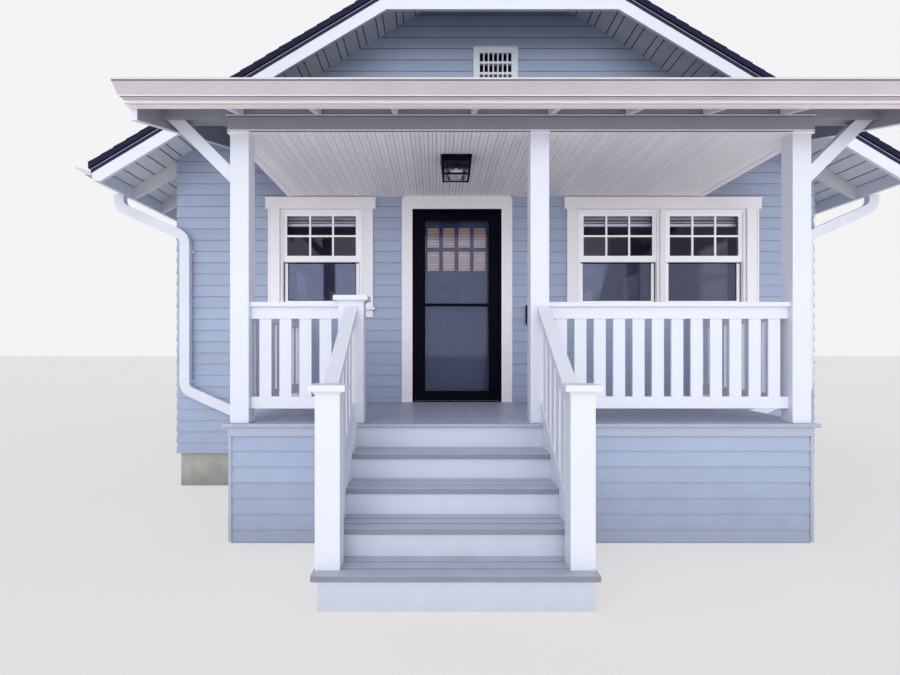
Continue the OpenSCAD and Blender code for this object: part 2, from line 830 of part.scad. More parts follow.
// Upright pull on two stems, with a plate, on the stile away from the hinges
pull_plate = [38, 4, 190];
pull_h = 160;
pull_r = 8;
pull_reach = 42;
stem_r = 6;
stem_z = 62;
module storm_door_handle()
    color("#20202a")
        at_front() translate([storm_l + storm_face / 2, storm_y, mid_bar_z]) {
            translate([-pull_plate[0] / 2, -pull_plate[1], -pull_plate[2] / 2]) cube(pull_plate);
            for (s = [-1, 1])
                translate([0, -pull_plate[1], s * stem_z])
                    rotate([90, 0, 0]) cylinder(r = stem_r, h = pull_reach - pull_plate[1] - stem_r);
            translate([0, -pull_reach, -pull_h / 2]) cylinder(r = pull_r, h = pull_h);
        }

// Inner door: a slab with two rows of four lights near its head
light_rows = 2;
light_cols = 4;
light_bar = 26;
light_w = 140;
light_h = 225;
light_pane_set = 20;
lights_top_rail = 156;
lights_top = leaf_top - lights_top_rail;
lights_w = light_cols * light_w + (light_cols - 1) * light_bar;

module each_light()
    for (i = [0 : light_cols - 1], j = [0 : light_rows - 1])
        translate([(leaf_l + leaf_r) / 2 - lights_w / 2 + i * (light_w + light_bar), leaf_y,
                   lights_top - (j + 1) * light_h - j * light_bar])
            children();

module front_door()
    color("#32304b")
        at_front() difference() {
            block([leaf_l, leaf_y, door_low], [leaf_r, leaf_y + leaf_t, leaf_top]);
            each_light() translate([0, -1, 0]) cube([light_w, leaf_t + 2, light_h]);
        }

module front_door_glass()
    color(glass_tint, 0.5)
        at_front() each_light() translate([0, light_pane_set, 0]) cube([light_w, glass_t, light_h]);

rose_r = 30;
rose_t = 8;
shank_r = 11;
shank_h = 34;
knob_r = 26;
knob_reach = 44;
knob_in = 65;
module knob() {
    rotate([90, 0, 0]) cylinder(r = rose_r, h = rose_t);
    rotate([90, 0, 0]) cylinder(r = shank_r, h = shank_h);
    translate([0, -knob_reach, 0]) sphere(r = knob_r);
}

// Butt hinges: the pin and outer knuckles stay on the frame, the middle knuckle is on the door
hinge_h = 90;
hinge_plate = 3;
hinge_wing = 22;
hinge_low_z = door_low + hinge_end;
hinge_top_z = storm_top - hinge_end - hinge_h;
hinge_zs = [hinge_low_z, (hinge_low_z + hinge_top_z) / 2, hinge_top_z];
knuckle_h = 29;

module hinge_fixed() {
    for (z = [0, hinge_h - knuckle_h]) {
        translate([0, 0, z]) cylinder(r = knuckle_r, h = knuckle_h);
        block([0, knuckle_r - hinge_plate, z], [door_gap / 2 + hinge_wing, knuckle_r, z + knuckle_h]);
    }
    cylinder(r = pin_r, h = hinge_h);
    block([knuckle_r + 2, knuckle_r - hinge_plate, 0], [door_gap / 2 + hinge_wing, knuckle_r, hinge_h]);
}

module hinge_moving() {
    mid_low = knuckle_h + pin_gap;
    mid_h = hinge_h - 2 * mid_low;
    difference() {
        union() {
            translate([0, 0, mid_low]) cylinder(r = knuckle_r, h = mid_h);
            block([-door_gap / 2 - hinge_wing, knuckle_r - hinge_plate, mid_low],
                  [0, knuckle_r, mid_low + mid_h]);
        }
        translate([0, 0, mid_low - 1]) cylinder(r = pin_r + pin_gap, h = mid_h + 2);
    }
}

storm_axis = [storm_r + door_gap / 2, storm_y - knuckle_r];
leaf_axis = [leaf_r + door_gap / 2, wall_t + knuckle_r];

module each_storm_hinge() for (z = hinge_zs) translate([storm_axis[0], storm_axis[1], z]) children();
module each_leaf_hinge()
    for (z = hinge_zs) translate([leaf_axis[0], leaf_axis[1], z]) mirror([0, 1, 0]) children();

module door_hinges()
    color("#20202a")
        at_front() {
            each_storm_hinge() hinge_fixed();
            each_leaf_hinge() hinge_fixed();
        }

module storm_door_hinges() color("#20202a") at_front() each_storm_hinge() hinge_moving();

module front_door_fittings()
    color("#20202a")
        at_front() {
            each_leaf_hinge() hinge_moving();
            translate([leaf_l + knob_in, 0, floor_z + knob_up]) {
                translate([0, leaf_y, 0]) knob();
                translate([0, leaf_y + leaf_t, 0]) mirror([0, 1, 0]) knob();
            }
        }

module porch_skirt_front()
    color(blue_grey)
        block([-skirt_half, front_y - skirt_out, 0],
              [skirt_half, front_y - skirt_out + porch_wall_t, floor_z - porch_floor_t]);

module porch_skirt_sides()
    color(blue_grey)
        both_sides()
            block([skirt_half - porch_wall_t, front_y - skirt_out + porch_wall_t, 0],
                  [skirt_half, front_y, floor_z - porch_floor_t]);

module porch_floor()
    color(tread_grey)
        block([-porch_half, front_y - porch_depth, floor_z - porch_floor_t], [porch_half, front_y, floor_z]);

module post_at(x, grow = 0)
    block([x - post / 2 - grow, front_y - post_out - grow, floor_z],
          [x + post / 2 + grow, front_y - post_out + post + grow, beam_z]);

module porch_posts() color(white) for (x = [-post_x, post_mid_x, post_x]) post_at(x);

module porch_ceiling()
    color("#d6d2d8")
        difference() {
            block([-beam_end, front_y - beam_front, porch_ceiling_z], [beam_end, front_y, beam_z]);
            for (x = [-post_x, post_mid_x, post_x]) post_at(x);
        }

module porch_beam()
    color(soffit_grey) {
        block([-beam_end, front_y - beam_front, beam_z],
              [beam_end, front_y - beam_front + beam_t, beam_z + beam_h]);
        block([-plate_end, front_y - post_out, plate_low],
              [plate_end, front_y - post_out + post, porch_z(post_out)]);
    }

module porch_side_beams() {
    out = beam_front - beam_t;
    color(soffit_grey)
        both_sides()
            along_x([[front_y - out, beam_z], [front_y, beam_z],
                     [front_y, porch_z(0)], [front_y - out, porch_z(out)]],
                    post_x - post / 2, post_x + post / 2);
}

// A slanting brace from each outer post up to the plate
brace_drop = 478;
brace_low = plate_low - brace_drop;
module knee_braces() {
    face = post_x + post / 2;
    rise = plate_low - brace_low - brace * sqrt(2);
    color(white)
        both_sides()
            along_y([[face, brace_low], [face, brace_low + brace * sqrt(2)],
                     [face + rise, plate_low], [face + rise + brace * sqrt(2), plate_low]],
                    front_y - post_out + (post - brace) / 2, front_y - post_out + (post + brace) / 2);
}

module porch_layer(lift, t, run, edge)
    along_x([[front_y - run, porch_z(run) + lift], [front_y - run, porch_z(run) + lift + t],
             [front_y, porch_z(0) + lift + t], [front_y, porch_z(0) + lift]], -edge, edge);

porch_deck_run = porch_roof_run + porch_deck_over;

module porch_roof_boards()
    color(soffit_grey) porch_layer(lay_gap, porch_deck_t, porch_deck_run, porch_edge);

module porch_shingles()
    color(night)
        porch_layer(porch_deck_t + 2 * lay_gap, porch_shingle_t,
                    porch_deck_run + porch_drip, porch_edge + porch_drip);

module porch_barges() {
    out = porch_roof_run - porch_fascia_t;
    color(white)
        both_sides()
            along_x([[front_y - out, porch_z(out) - porch_barge_h], [front_y, porch_z(0) - porch_barge_h],
                     [front_y, porch_z(0)], [front_y - out, porch_z(out)]],
                    plate_end, porch_edge);
}

// The front board has a foot strip at its back that hangs a little lower
foot_strip = 52;
foot_drop = 10;
module porch_fascia() {
    low = porch_ceiling_z + porch_fascia_low;
    back = porch_roof_run - porch_fascia_t;
    color(white)
        along_x([[front_y - porch_roof_run, low + foot_drop],
                 [front_y - porch_roof_run, porch_z(porch_roof_run)],
                 [front_y - back, porch_z(back)], [front_y - back, low],
                 [front_y - back - foot_strip, low], [front_y - back - foot_strip, low + foot_drop]],
                -porch_edge, porch_edge);
}

module tread(k, half) {
    depth = tread_run + tread_nose + riser_t;
    width = (depth - 2 * board_gap) / 3;
    for (i = [0 : 2])
        translate([stair_x - half, front_y - nose_out(k) + i * (width + board_gap), tread_z(k) - tread_t])
            cube([2 * half, width, tread_t]);
}

module stair_treads()
    color(tread_grey) {
        tread(1, tread_low_half);
        for (k = [2 : 4]) tread(k, stair_half);
    }

module riser_board(k, half)
    block([stair_x - half, front_y - nose_out(k) + tread_nose, k == 1 ? 0 : tread_z(k - 1)],
          [stair_x + half, front_y - nose_out(k) + tread_nose + riser_t,
           k == 5 ? floor_z - porch_floor_t : tread_z(k) - tread_t]);

module stair_risers()
    color(white) {
        riser_board(1, riser_low_half);
        for (k = [2 : 5]) riser_board(k, stair_half);
    }

module stair_stringers() {
    start = nose_out(1) - tread_nose - riser_t;
    behind = newel_front - newel;
    tread_end = nose_out(2) - tread_nose - riser_t;
    low = tread_z(1) - tread_t;
    color(white)
        for (s = [-1, 1])
            translate([stair_x + s * (stair_half + stringer_t / 2), front_y, 0])
                along_x([[-start, 0], [-start, low], [-tread_end, low], [-tread_end, tread_z(1)],
                         [-behind, tread_z(1)], [-behind, nose_line(behind) + stringer_up],
                         [-porch_depth, floor_z + stringer_up], [-porch_depth, floor_z - porch_floor_t],
                         [-skirt_out, floor_z - porch_floor_t], [-skirt_out, 0]],
                        -stringer_t / 2, stringer_t / 2);
}

// Each newel as [middle, front face, foot, width, height]
newel_list = [[stair_x - newel_half, newel_front, tread_z(1), newel, newel_h],
              [stair_x + newel_half, newel_front, tread_z(1), newel, newel_h],
              [top_newel_x, post_out, floor_z, top_newel_w, top_newel_h]];

module newel_post(n)
    block([n[0] - n[3] / 2, front_y - n[1], n[2]], [n[0] + n[3] / 2, front_y - n[1] + newel, n[2] + n[4]]);

module newel_cap(n, grow = 0) {
    over = cap_over + grow;
    block([n[0] - n[3] / 2 - over, front_y - n[1] - over, n[2] + n[4] - grow],
          [n[0] + n[3] / 2 + over, front_y - n[1] + newel + over, n[2] + n[4] + cap_t + grow]);
}

module newels()
    color(white)
        for (n = newel_list) {
            newel_post(n);
            newel_cap(n);
        }

// How far a baluster is let into the rails
tenon = 8;

// One slanting rail panel between a lower newel and the post at the head of the stair
module stair_rail() {
    low_out = newel_front - newel;
    high_out = post_out;
    steep = sqrt(1 + nose_slope * nose_slope);
    function strip(a, b) = [[-low_out, nose_line(low_out) + a], [-high_out, nose_line(high_out) + a],
                            [-high_out, nose_line(high_out) + b], [-low_out, nose_line(low_out) + b]];
    cap_low = hand_h - rail_cap_t * steep;
    top_low = cap_low - rail_depth * steep;
    foot_low = stringer_up;
    foot_top = foot_low + rail_depth * steep;
    count = round((low_out - high_out - bal_gap) / (bal_w + bal_gap));
    gap = (low_out - high_out - count * bal_w) / (count + 1);
    along_x(strip(cap_low, hand_h), -rail_cap_w / 2, rail_cap_w / 2);
    along_x(strip(top_low, cap_low), -rail_t / 2, rail_t / 2);
    along_x(strip(foot_low, foot_top), -rail_t / 2, rail_t / 2);
    for (i = [0 : count - 1]) {
        near = low_out - gap - i * (bal_w + gap);
        far = near - bal_w;
        along_x([[-near, nose_line(near) + foot_top - tenon], [-far, nose_line(far) + foot_top - tenon],
                 [-far, nose_line(far) + top_low + tenon], [-near, nose_line(near) + top_low + tenon]],
                -bal_t / 2, bal_t / 2);
    }
}

// The rails' ends are notched round the newel caps with this clearance
notch_gap = 0.3;
module stair_rails()
    color(white)
        difference() {
            for (s = [-1, 1])
                translate([stair_x + s * newel_half + hand_shift, front_y, 0]) stair_rail();
            for (n = newel_list) newel_cap(n, notch_gap);
        }

// A level railing panel of the length run, from x = 0, with its middle on y = 0
module railing(run) {
    cap_low = rail_h - rail_cap_t;
    top_low = cap_low - rail_depth;
    foot_top = rail_low + rail_depth;
    count = round((run - bal_gap) / (bal_w + bal_gap));
    gap = (run - count * bal_w) / (count + 1);
    block([0, -rail_cap_w / 2, cap_low], [run, rail_cap_w / 2, rail_h]);
    block([0, -rail_t / 2, top_low], [run, rail_t / 2, cap_low]);
    block([0, -rail_t / 2, rail_low], [run, rail_t / 2, foot_top]);
    for (i = [0 : count - 1])
        block([gap + i * (bal_w + gap), -bal_t / 2, foot_top - tenon],
              [gap + i * (bal_w + gap) + bal_w, bal_t / 2, top_low + tenon]);
}

module porch_railings() {
    line_y = front_y - post_out + post / 2;
    post_face = post_x - post / 2;
    newel_face = top_newel_x - top_newel_w / 2;
    mid_face = post_mid_x + post / 2;
    color(white) {
        translate([-post_face, line_y, floor_z]) railing(newel_face + post_face);
        translate([mid_face, line_y, floor_z]) railing(post_face - mid_face);
        for (s = [-1, 1])
            translate([s * post_x, front_y, floor_z]) {
                translate([0, post - post_out, 0]) rotate([0, 0, 90]) railing(post_out - post - casing_t);
                block([-rail_cap_w / 2, -casing_t, 0],
                      [rail_cap_w / 2, 0, win_z - sill_t - apron_h - floor_z]);
            }
    }
}

// Ceiling lantern: a dark square cage that narrows downwards, with glass sides and a bulb
lamp_top = 54;
lamp_bar = 16;
lamp_ring = 12;
pane_out = 6;
pane_in = 10;
foot_pane_up = 3;
holder_r = 18;
holder_h = 30;
bulb_r = 30;
bulb_neck_r = 13;
bulb_drop = 62;
lamp_y = front_y - lamp_out;
lamp_foot_z = porch_ceiling_z - lamp_h;
cage_z = porch_ceiling_z - lamp_top;
function lamp_half(z) = (lamp_foot_w + (lamp_w - lamp_foot_w) * (z - lamp_foot_z) / lamp_h) / 2;

module lamp_side(inset, z0, z1)
    along_y([[-lamp_half(z0) + inset, z0], [lamp_half(z0) - inset, z0],
             [lamp_half(z1) - inset, z1], [-lamp_half(z1) + inset, z1]], -lamp_w, lamp_w);

module lamp_body(inset, z0, z1)
    intersection() {
        lamp_side(inset, z0, z1);
        rotate([0, 0, 90]) lamp_side(inset, z0, z1);
    }

module lamp_sides() for (a = [0, 90]) rotate([0, 0, a]) lamp_side(lamp_bar, lamp_foot_z + lamp_ring, cage_z);

module lantern()
    color(night)
        translate([lamp_x, lamp_y, 0]) {
            difference() {
                lamp_body(0, lamp_foot_z, porch_ceiling_z);
                lamp_body(lamp_bar, lamp_foot_z - 1, cage_z);
                lamp_sides();
            }
            translate([0, 0, cage_z - holder_h]) cylinder(r = holder_r, h = holder_h + 1);
        }

// Four side panes, a foot pane and the bulb
module lantern_glass()
    color(glass_tint, 0.5)
        translate([lamp_x, lamp_y, 0]) {
            intersection() {
                difference() {
                    lamp_body(pane_out, lamp_foot_z + lamp_ring, cage_z);
                    lamp_body(pane_in, lamp_foot_z, cage_z + 1);
                }
                lamp_sides();
            }
            lamp_body(lamp_bar, lamp_foot_z + foot_pane_up, lamp_foot_z + foot_pane_up + pane_in - pane_out);
            translate([0, 0, cage_z - bulb_drop]) {
                sphere(r = bulb_r);
                cylinder(r = bulb_neck_r, h = bulb_drop - holder_h);
            }
        }

module letter_box()
    color(night)
        at_front()
            along_x([[-box_d, floor_z + box_up], [0, floor_z + box_up], [0, floor_z + box_up + box_h],
                     [-box_d * 0.45, floor_z + box_up + box_h], [-box_d, floor_z + box_up + box_h * 0.72]],
                    box_x, box_x + box_w);

foundation();
floor();
ceiling();
front_wall_left();
front_wall_right();
front_wall_over_door();
front_gable();
left_wall();
right_wall();
rear_wall();
gable_vents();
roof_boards_left();
roof_boards_right();
roof_boards_clips();
shingles_left();
shingles_right();
shingles_clips();
ridge_cap();
barge_boards();
rafter_tails();
eave_fascias();
eave_gutters();
downspouts();
window_frames();
window_glass();
window_casings();
door_casing();
door_frame();
storm_frame_bars();
door_hinges();
storm_door();
storm_door_glass();
storm_door_handle();
storm_door_hinges();
front_door();
front_door_glass();
front_door_fittings();
porch_skirt_front();
porch_skirt_sides();
porch_floor();
porch_posts();
porch_beam();
porch_side_beams();
porch_ceiling();
knee_braces();
porch_roof_boards();
porch_shingles();
porch_barges();
porch_fascia();
porch_gutter();
stair_treads();
stair_risers();
stair_stringers();
newels();
stair_rails();
porch_railings();
lantern();
lantern_glass();
letter_box();
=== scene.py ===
import bpy
import bmesh
import math
import random
from mathutils import Matrix, Vector


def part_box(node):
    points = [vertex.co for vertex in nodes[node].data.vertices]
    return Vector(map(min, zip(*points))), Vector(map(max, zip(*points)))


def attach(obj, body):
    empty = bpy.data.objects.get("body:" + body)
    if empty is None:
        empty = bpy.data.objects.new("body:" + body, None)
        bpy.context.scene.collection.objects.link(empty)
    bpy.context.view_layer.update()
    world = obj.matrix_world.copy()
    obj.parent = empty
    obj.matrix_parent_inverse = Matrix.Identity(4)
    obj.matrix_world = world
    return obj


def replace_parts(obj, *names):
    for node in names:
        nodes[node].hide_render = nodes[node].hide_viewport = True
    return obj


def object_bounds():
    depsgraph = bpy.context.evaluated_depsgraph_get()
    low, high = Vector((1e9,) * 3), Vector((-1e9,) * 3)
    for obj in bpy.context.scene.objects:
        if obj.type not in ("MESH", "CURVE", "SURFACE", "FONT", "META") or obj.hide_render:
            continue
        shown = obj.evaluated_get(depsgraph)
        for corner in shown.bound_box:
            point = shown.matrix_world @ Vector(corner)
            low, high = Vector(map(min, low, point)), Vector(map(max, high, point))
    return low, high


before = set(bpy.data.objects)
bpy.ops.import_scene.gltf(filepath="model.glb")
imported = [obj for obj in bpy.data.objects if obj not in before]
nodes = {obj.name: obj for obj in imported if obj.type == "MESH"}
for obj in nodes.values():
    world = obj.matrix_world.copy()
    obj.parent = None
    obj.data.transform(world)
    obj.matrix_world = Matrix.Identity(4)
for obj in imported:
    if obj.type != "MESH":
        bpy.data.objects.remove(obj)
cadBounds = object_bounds()
print("frame loaded:", len(nodes), "nodes")


# Small helpers

clear = 0.0005  # how far pieces keep clear of their neighbours
sunk = 0.001  # how deep laid pieces sit in what carries them
hair = 1e-6  # for comparing places


def boxOf(name):
    lo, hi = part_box(name)
    return Vector(lo), Vector(hi)


def startMesh():
    # every new mesh has a tone for each face: darker or lighter boards, tabs and slats
    bm = bmesh.new()
    bm.faces.layers.float.new("tone")
    return bm


def setTone(bm, verts, tone):
    layer = bm.faces.layers.float["tone"]
    for face in {f for v in verts for f in v.link_faces}:
        face[layer] = tone


def turned(origin, degrees, axis="Z"):
    # a place turned about one axis; for a wall x runs along it and y into it
    return Matrix.Translation(origin) @ Matrix.Rotation(math.radians(degrees), 4, axis)


def addBlock(bm, a, b, tone=0.0, place=None):
    # a block between two opposite corners, turned and set down by place; its tone runs from -0.5, the
    # darkest of its paint, to 0.5
    lo, hi = (Vector([pick(pair) for pair in zip(a, b)]) for pick in (min, max))
    matrix = Matrix.Translation((lo + hi) / 2) @ Matrix.Diagonal((*(hi - lo), 1.0))
    made = bmesh.ops.create_cube(bm, size=1.0, matrix=place @ matrix if place else matrix)["verts"]
    if tone:
        setTone(bm, made, tone)
    return made


def addRod(bm, a, b, radius, endRadius=None, segments=12):
    # a round rod or cone between two points
    a, b = Vector(a), Vector(b)
    matrix = Matrix.Translation((a + b) / 2) @ (b - a).to_track_quat("Z", "Y").to_matrix().to_4x4()
    bmesh.ops.create_cone(bm, cap_ends=True, segments=segments, radius1=radius,
                          radius2=radius if endRadius is None else endRadius, depth=(b - a).length,
                          matrix=matrix)


def addFrame(bm, lo, hi, width, tone=0.0, place=None):
    # four bars round an opening in X and Z: lo and hi are its outer corners
    x0, y0, z0 = lo
    x1, y1, z1 = hi
    for a, b in (((x0, y0, z0), (x0 + width, y1, z1)), ((x1 - width, y0, z0), (x1, y1, z1)),
                 ((x0 + width, y0, z0), (x1 - width, y1, z0 + width)),
                 ((x0 + width, y0, z1 - width), (x1 - width, y1, z1))):
        addBlock(bm, a, b, tone, place)


def addBand(bm, lo, hi, thick, tone=0.0):
    # four strips round the sides of an upright piece, whose own corners are lo and hi
    x0, y0, z0 = lo
    x1, y1, z1 = hi
    for a, b in (((x0 - thick, y0 - thick, z0), (x1 + thick, y0, z1)),
                 ((x0 - thick, y1, z0), (x1 + thick, y1 + thick, z1)),
                 ((x0 - thick, y0, z0), (x0, y1, z1)), ((x1, y0, z0), (x1 + thick, y1, z1))):
        addBlock(bm, a, b, tone)


def roundEdges(bm, width, segments=2, edges=None):
    bmesh.ops.bevel(bm, geom=edges or bm.edges[:], offset=width, offset_type="OFFSET", segments=segments,
                    profile=0.5, affect="EDGES", material=-1, clamp_overlap=True)


def linkPiece(name, bm, material):
    mesh = bpy.data.meshes.new(name)
    bm.to_mesh(mesh)
    bm.free()
    piece = bpy.data.objects.new(name, mesh)
    bpy.context.scene.collection.objects.link(piece)
    mesh.materials.append(material)
    return piece


def finishPiece(name, bm, finish, body="house"):
    bmesh.ops.recalc_face_normals(bm, faces=bm.faces[:])
    piece = linkPiece(name, bm, finishes[finish])
    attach(piece, body)
    return piece


def trimBy(bm, point, normal):
    # cuts away everything on the side that the normal points to, and closes the cut
    bmesh.ops.bisect_plane(bm, geom=bm.verts[:] + bm.edges[:] + bm.faces[:], dist=hair,
                           plane_co=point, plane_no=normal, clear_outer=True)
    edges = [e for e in bm.edges if e.is_boundary]
    if edges:
        bmesh.ops.holes_fill(bm, edges=edges, sides=0)


# The camera, from the photograph

frontY = boxOf("front_wall_left")[0].y
rearY = boxOf("rear_wall")[1].y
halfW = boxOf("rear_wall")[1].x

cameraSettings = dict(lens=22.2, shiftX=0.0167, shiftY=0.0139, place=(-0.64, frontY - 5.873, 1.44),
                      sensor=36, clip=(0.05, 300))


def placeCamera(s):
    data = bpy.data.cameras.new("streetCamera")
    data.lens = s["lens"]
    data.sensor_width = s["sensor"]
    data.shift_x = s["shiftX"]
    data.shift_y = s["shiftY"]
    data.clip_start, data.clip_end = s["clip"]
    cam = bpy.data.objects.new("streetCamera", data)
    cam.location = s["place"]
    cam.rotation_euler = (math.radians(90), 0, 0)
    bpy.context.scene.collection.objects.link(cam)
    bpy.context.scene.camera = cam


placeCamera(cameraSettings)


# Shader groups that several finishes share

def newGroup(name, inputs, outputs):
    group = bpy.data.node_groups.new(name, "ShaderNodeTree")
    for label, kind, value in inputs:
        socket = group.interface.new_socket(name=label, in_out="INPUT", socket_type=kind)
        if value is not None:
            socket.default_value = value
    for label, kind in outputs:
        group.interface.new_socket(name=label, in_out="OUTPUT", socket_type=kind)
    source = group.nodes.new("NodeGroupInput")
    target = group.nodes.new("NodeGroupOutput")
    return group, source, target


def mathNode(tree, operation, a, b=None, clamp=False):
    node = tree.nodes.new("ShaderNodeMath")
    node.operation = operation
    node.use_clamp = clamp
    for i, value in enumerate((a, b)):
        if value is None:
            continue
        if isinstance(value, (int, float)):
            node.inputs[i].default_value = value
        else:
            tree.links.new(value, node.inputs[i])
    return node.outputs[0]


def rangeNode(tree, value, fromLo, fromHi, toLo, toHi):
    node = tree.nodes.new("ShaderNodeMapRange")
    node.clamp = True
    tree.links.new(value, node.inputs["Value"])
    for label, v in (("From Min", fromLo), ("From Max", fromHi), ("To Min", toLo), ("To Max", toHi)):
        if isinstance(v, (int, float)):
            node.inputs[label].default_value = v
        else:
            tree.links.new(v, node.inputs[label])
    return node.outputs["Result"]


def mixColour(tree, factor, a, b, blend="MIX"):
    node = tree.nodes.new("ShaderNodeMix")
    node.data_type = "RGBA"
    node.blend_type = blend
    for socket, value in ((node.inputs[0], factor), (node.inputs[6], a), (node.inputs[7], b)):
        if isinstance(value, (int, float, tuple)):
            socket.default_value = value
        else:
            tree.links.new(value, socket)
    return node.outputs[2]


def noiseNode(tree, vector, scale, detail, roughness=0.5):
    node = tree.nodes.new("ShaderNodeTexNoise")
    node.inputs["Scale"].default_value = scale
    node.inputs["Detail"].default_value = detail
    node.inputs["Roughness"].default_value = roughness
    tree.links.new(vector, node.inputs["Vector"])
    return node.outputs["Fac"]


def maskNode(tree, value, low, high, most=1.0):
    # 0 up to the value low, then rising to most at the value high
    return rangeNode(tree, value, low, high, 0.0, most)


def splitNode(tree, vector):
    apart = tree.nodes.new("ShaderNodeSeparateXYZ")
    tree.links.new(vector, apart.inputs[0])
    return apart.outputs


def mixShaders(tree, mask, a, b):
    mix = tree.nodes.new("ShaderNodeMixShader")
    tree.links.new(mask, mix.inputs["Fac"])
    tree.links.new(a, mix.inputs[1])
    tree.links.new(b, mix.inputs[2])
    return mix.outputs["Shader"]


def seenRays(tree, path):
    # 1 for what the camera sees, by itself, in a gloss or through glass
    return mathNode(tree, "MAXIMUM", path["Is Camera Ray"],
                    mathNode(tree, "MAXIMUM", path["Is Glossy Ray"], path["Is Transmission Ray"]))


def stretchNode(tree, vector, scale):
    node = tree.nodes.new("ShaderNodeMapping")
    node.inputs["Scale"].default_value = scale
    tree.links.new(vector, node.inputs["Vector"])
    return node.outputs["Vector"]


def patchMask(tree, coords, scale, low, high, most=1.0, detail=4, roughness=0.6):
    # soft patches of noise, for wear and fading
    return maskNode(tree, noiseNode(tree, coords, scale, detail, roughness), low, high, most)


weatherSettings = dict(patches=dict(scale=1.7, detail=5, low=0.45, high=0.75, most=0.45), drawn=(9, 9, 0.7),
                       streaks=dict(scale=1.6, low=0.5, high=0.8, most=0.5), edgeScale=6, edge=0.35,
                       patchPart=0.25)


def makeWeatherGroup(s):
    # soft stains, and a darkening towards the ground
    group, source, target = newGroup(
        "weather",
        [("Vector", "NodeSocketVector", None), ("Colour", "NodeSocketColor", (0.8, 0.8, 0.8, 1)),
         ("Dirt Colour", "NodeSocketColor", (0.3, 0.28, 0.24, 1)), ("Amount", "NodeSocketFloat", 0.3),
         ("Splash Height", "NodeSocketFloat", 0.5)],
        [("Colour", "NodeSocketColor"), ("Mask", "NodeSocketFloat")])
    v = source.outputs["Vector"]
    broad = patchMask(group, v, **s["patches"])
    streaks = patchMask(group, stretchNode(group, v, s["drawn"]), **s["streaks"])
    uneven = mathNode(group, "SUBTRACT", noiseNode(group, v, s["edgeScale"], 4), 0.5)
    ragged = mathNode(group, "ADD", splitNode(group, v)["Z"], mathNode(group, "MULTIPLY", uneven, s["edge"]))
    # darker towards the ground, below the given height
    splash = rangeNode(group, ragged, 0.0, source.outputs["Splash Height"], 1.0, 0.0)
    total = mathNode(group, "ADD", mathNode(group, "MULTIPLY", broad, streaks), splash, clamp=True)
    both = mathNode(group, "ADD", total, mathNode(group, "MULTIPLY", broad, s["patchPart"]), clamp=True)
    mask = mathNode(group, "MULTIPLY", both, source.outputs["Amount"], clamp=True)
    group.links.new(mixColour(group, mask, source.outputs["Colour"], source.outputs["Dirt Colour"]),
                    target.inputs["Colour"])
    group.links.new(mask, target.inputs["Mask"])
    return group


brushSettings = dict(strokes=(1.0, 6, 0.65), peel=(14.0, 3, 0.5), strokePart=0.8, peelPart=0.2)


def makeBrushGroup(s):
    # brush strokes and faint grain that run along one axis
    group, source, target = newGroup(
        "brushedPaint",
        [("Vector", "NodeSocketVector", None), ("Strength", "NodeSocketFloat", 0.5)],
        [("Height", "NodeSocketFloat"), ("Mask", "NodeSocketFloat")])
    v = source.outputs["Vector"]
    strokes, peel = noiseNode(group, v, *s["strokes"]), noiseNode(group, v, *s["peel"])
    height = mathNode(group, "ADD", mathNode(group, "MULTIPLY", strokes, s["strokePart"]),
                      mathNode(group, "MULTIPLY", peel, s["peelPart"]))
    group.links.new(mathNode(group, "MULTIPLY", height, source.outputs["Strength"]), target.inputs["Height"])
    group.links.new(strokes, target.inputs["Mask"])
    return group


def makeBoardGroup(core=0.35):
    # boards side by side: a dark joint between them, with a darkest core, and a value of its own for each
    group, source, target = newGroup(
        "boards",
        [("Along", "NodeSocketFloat", 0.0), ("Width", "NodeSocketFloat", 0.1),
         ("Joint", "NodeSocketFloat", 0.004), ("Seed", "NodeSocketFloat", 0.0)],
        [("Joint Mask", "NodeSocketFloat"), ("Board Value", "NodeSocketFloat")])
    turns = mathNode(group, "DIVIDE", source.outputs["Along"], source.outputs["Width"])
    index = mathNode(group, "FLOOR", turns)
    part = mathNode(group, "SUBTRACT", turns, index)
    short = mathNode(group, "MINIMUM", part, mathNode(group, "SUBTRACT", 1.0, part))
    near = mathNode(group, "MULTIPLY", short, source.outputs["Width"])
    joint = rangeNode(group, near, mathNode(group, "MULTIPLY", source.outputs["Joint"], core),
                      source.outputs["Joint"], 1.0, 0.0)
    dice = group.nodes.new("ShaderNodeTexWhiteNoise")
    dice.noise_dimensions = "2D"
    pair = group.nodes.new("ShaderNodeCombineXYZ")
    group.links.new(index, pair.inputs["X"])
    group.links.new(source.outputs["Seed"], pair.inputs["Y"])
    group.links.new(pair.outputs[0], dice.inputs["Vector"])
    group.links.new(joint, target.inputs["Joint Mask"])
    group.links.new(dice.outputs["Value"], target.inputs["Board Value"])
    return group


weatherGroup = makeWeatherGroup(weatherSettings)
brushGroup = makeBrushGroup(brushSettings)
boardGroup = makeBoardGroup()


def placeGroup(tree, group, **values):
    node = tree.nodes.new("ShaderNodeGroup")
    node.node_tree = group
    for label, value in values.items():
        socket = node.inputs[label.replace("_", " ")]
        if isinstance(value, (int, float, tuple)):
            socket.default_value = value
        else:
            tree.links.new(value, socket)
    return node


def startMaterial(name, **sockets):
    material = bpy.data.materials.new(name)
    material.use_nodes = True
    tree = material.node_tree
    shader = tree.nodes["Principled BSDF"]
    for label, value in sockets.items():
        shader.inputs[label.replace("_", " ")].default_value = value
    coords = tree.nodes.new("ShaderNodeTexCoord").outputs["Object"]
    return material, tree, shader, coords


def addBump(tree, shader, height, strength, distance):
    bump = tree.nodes.new("ShaderNodeBump")
    bump.inputs["Strength"].default_value = strength
    bump.inputs["Distance"].default_value = distance
    tree.links.new(height, bump.inputs["Height"])
    tree.links.new(bump.outputs["Normal"], shader.inputs["Normal"])


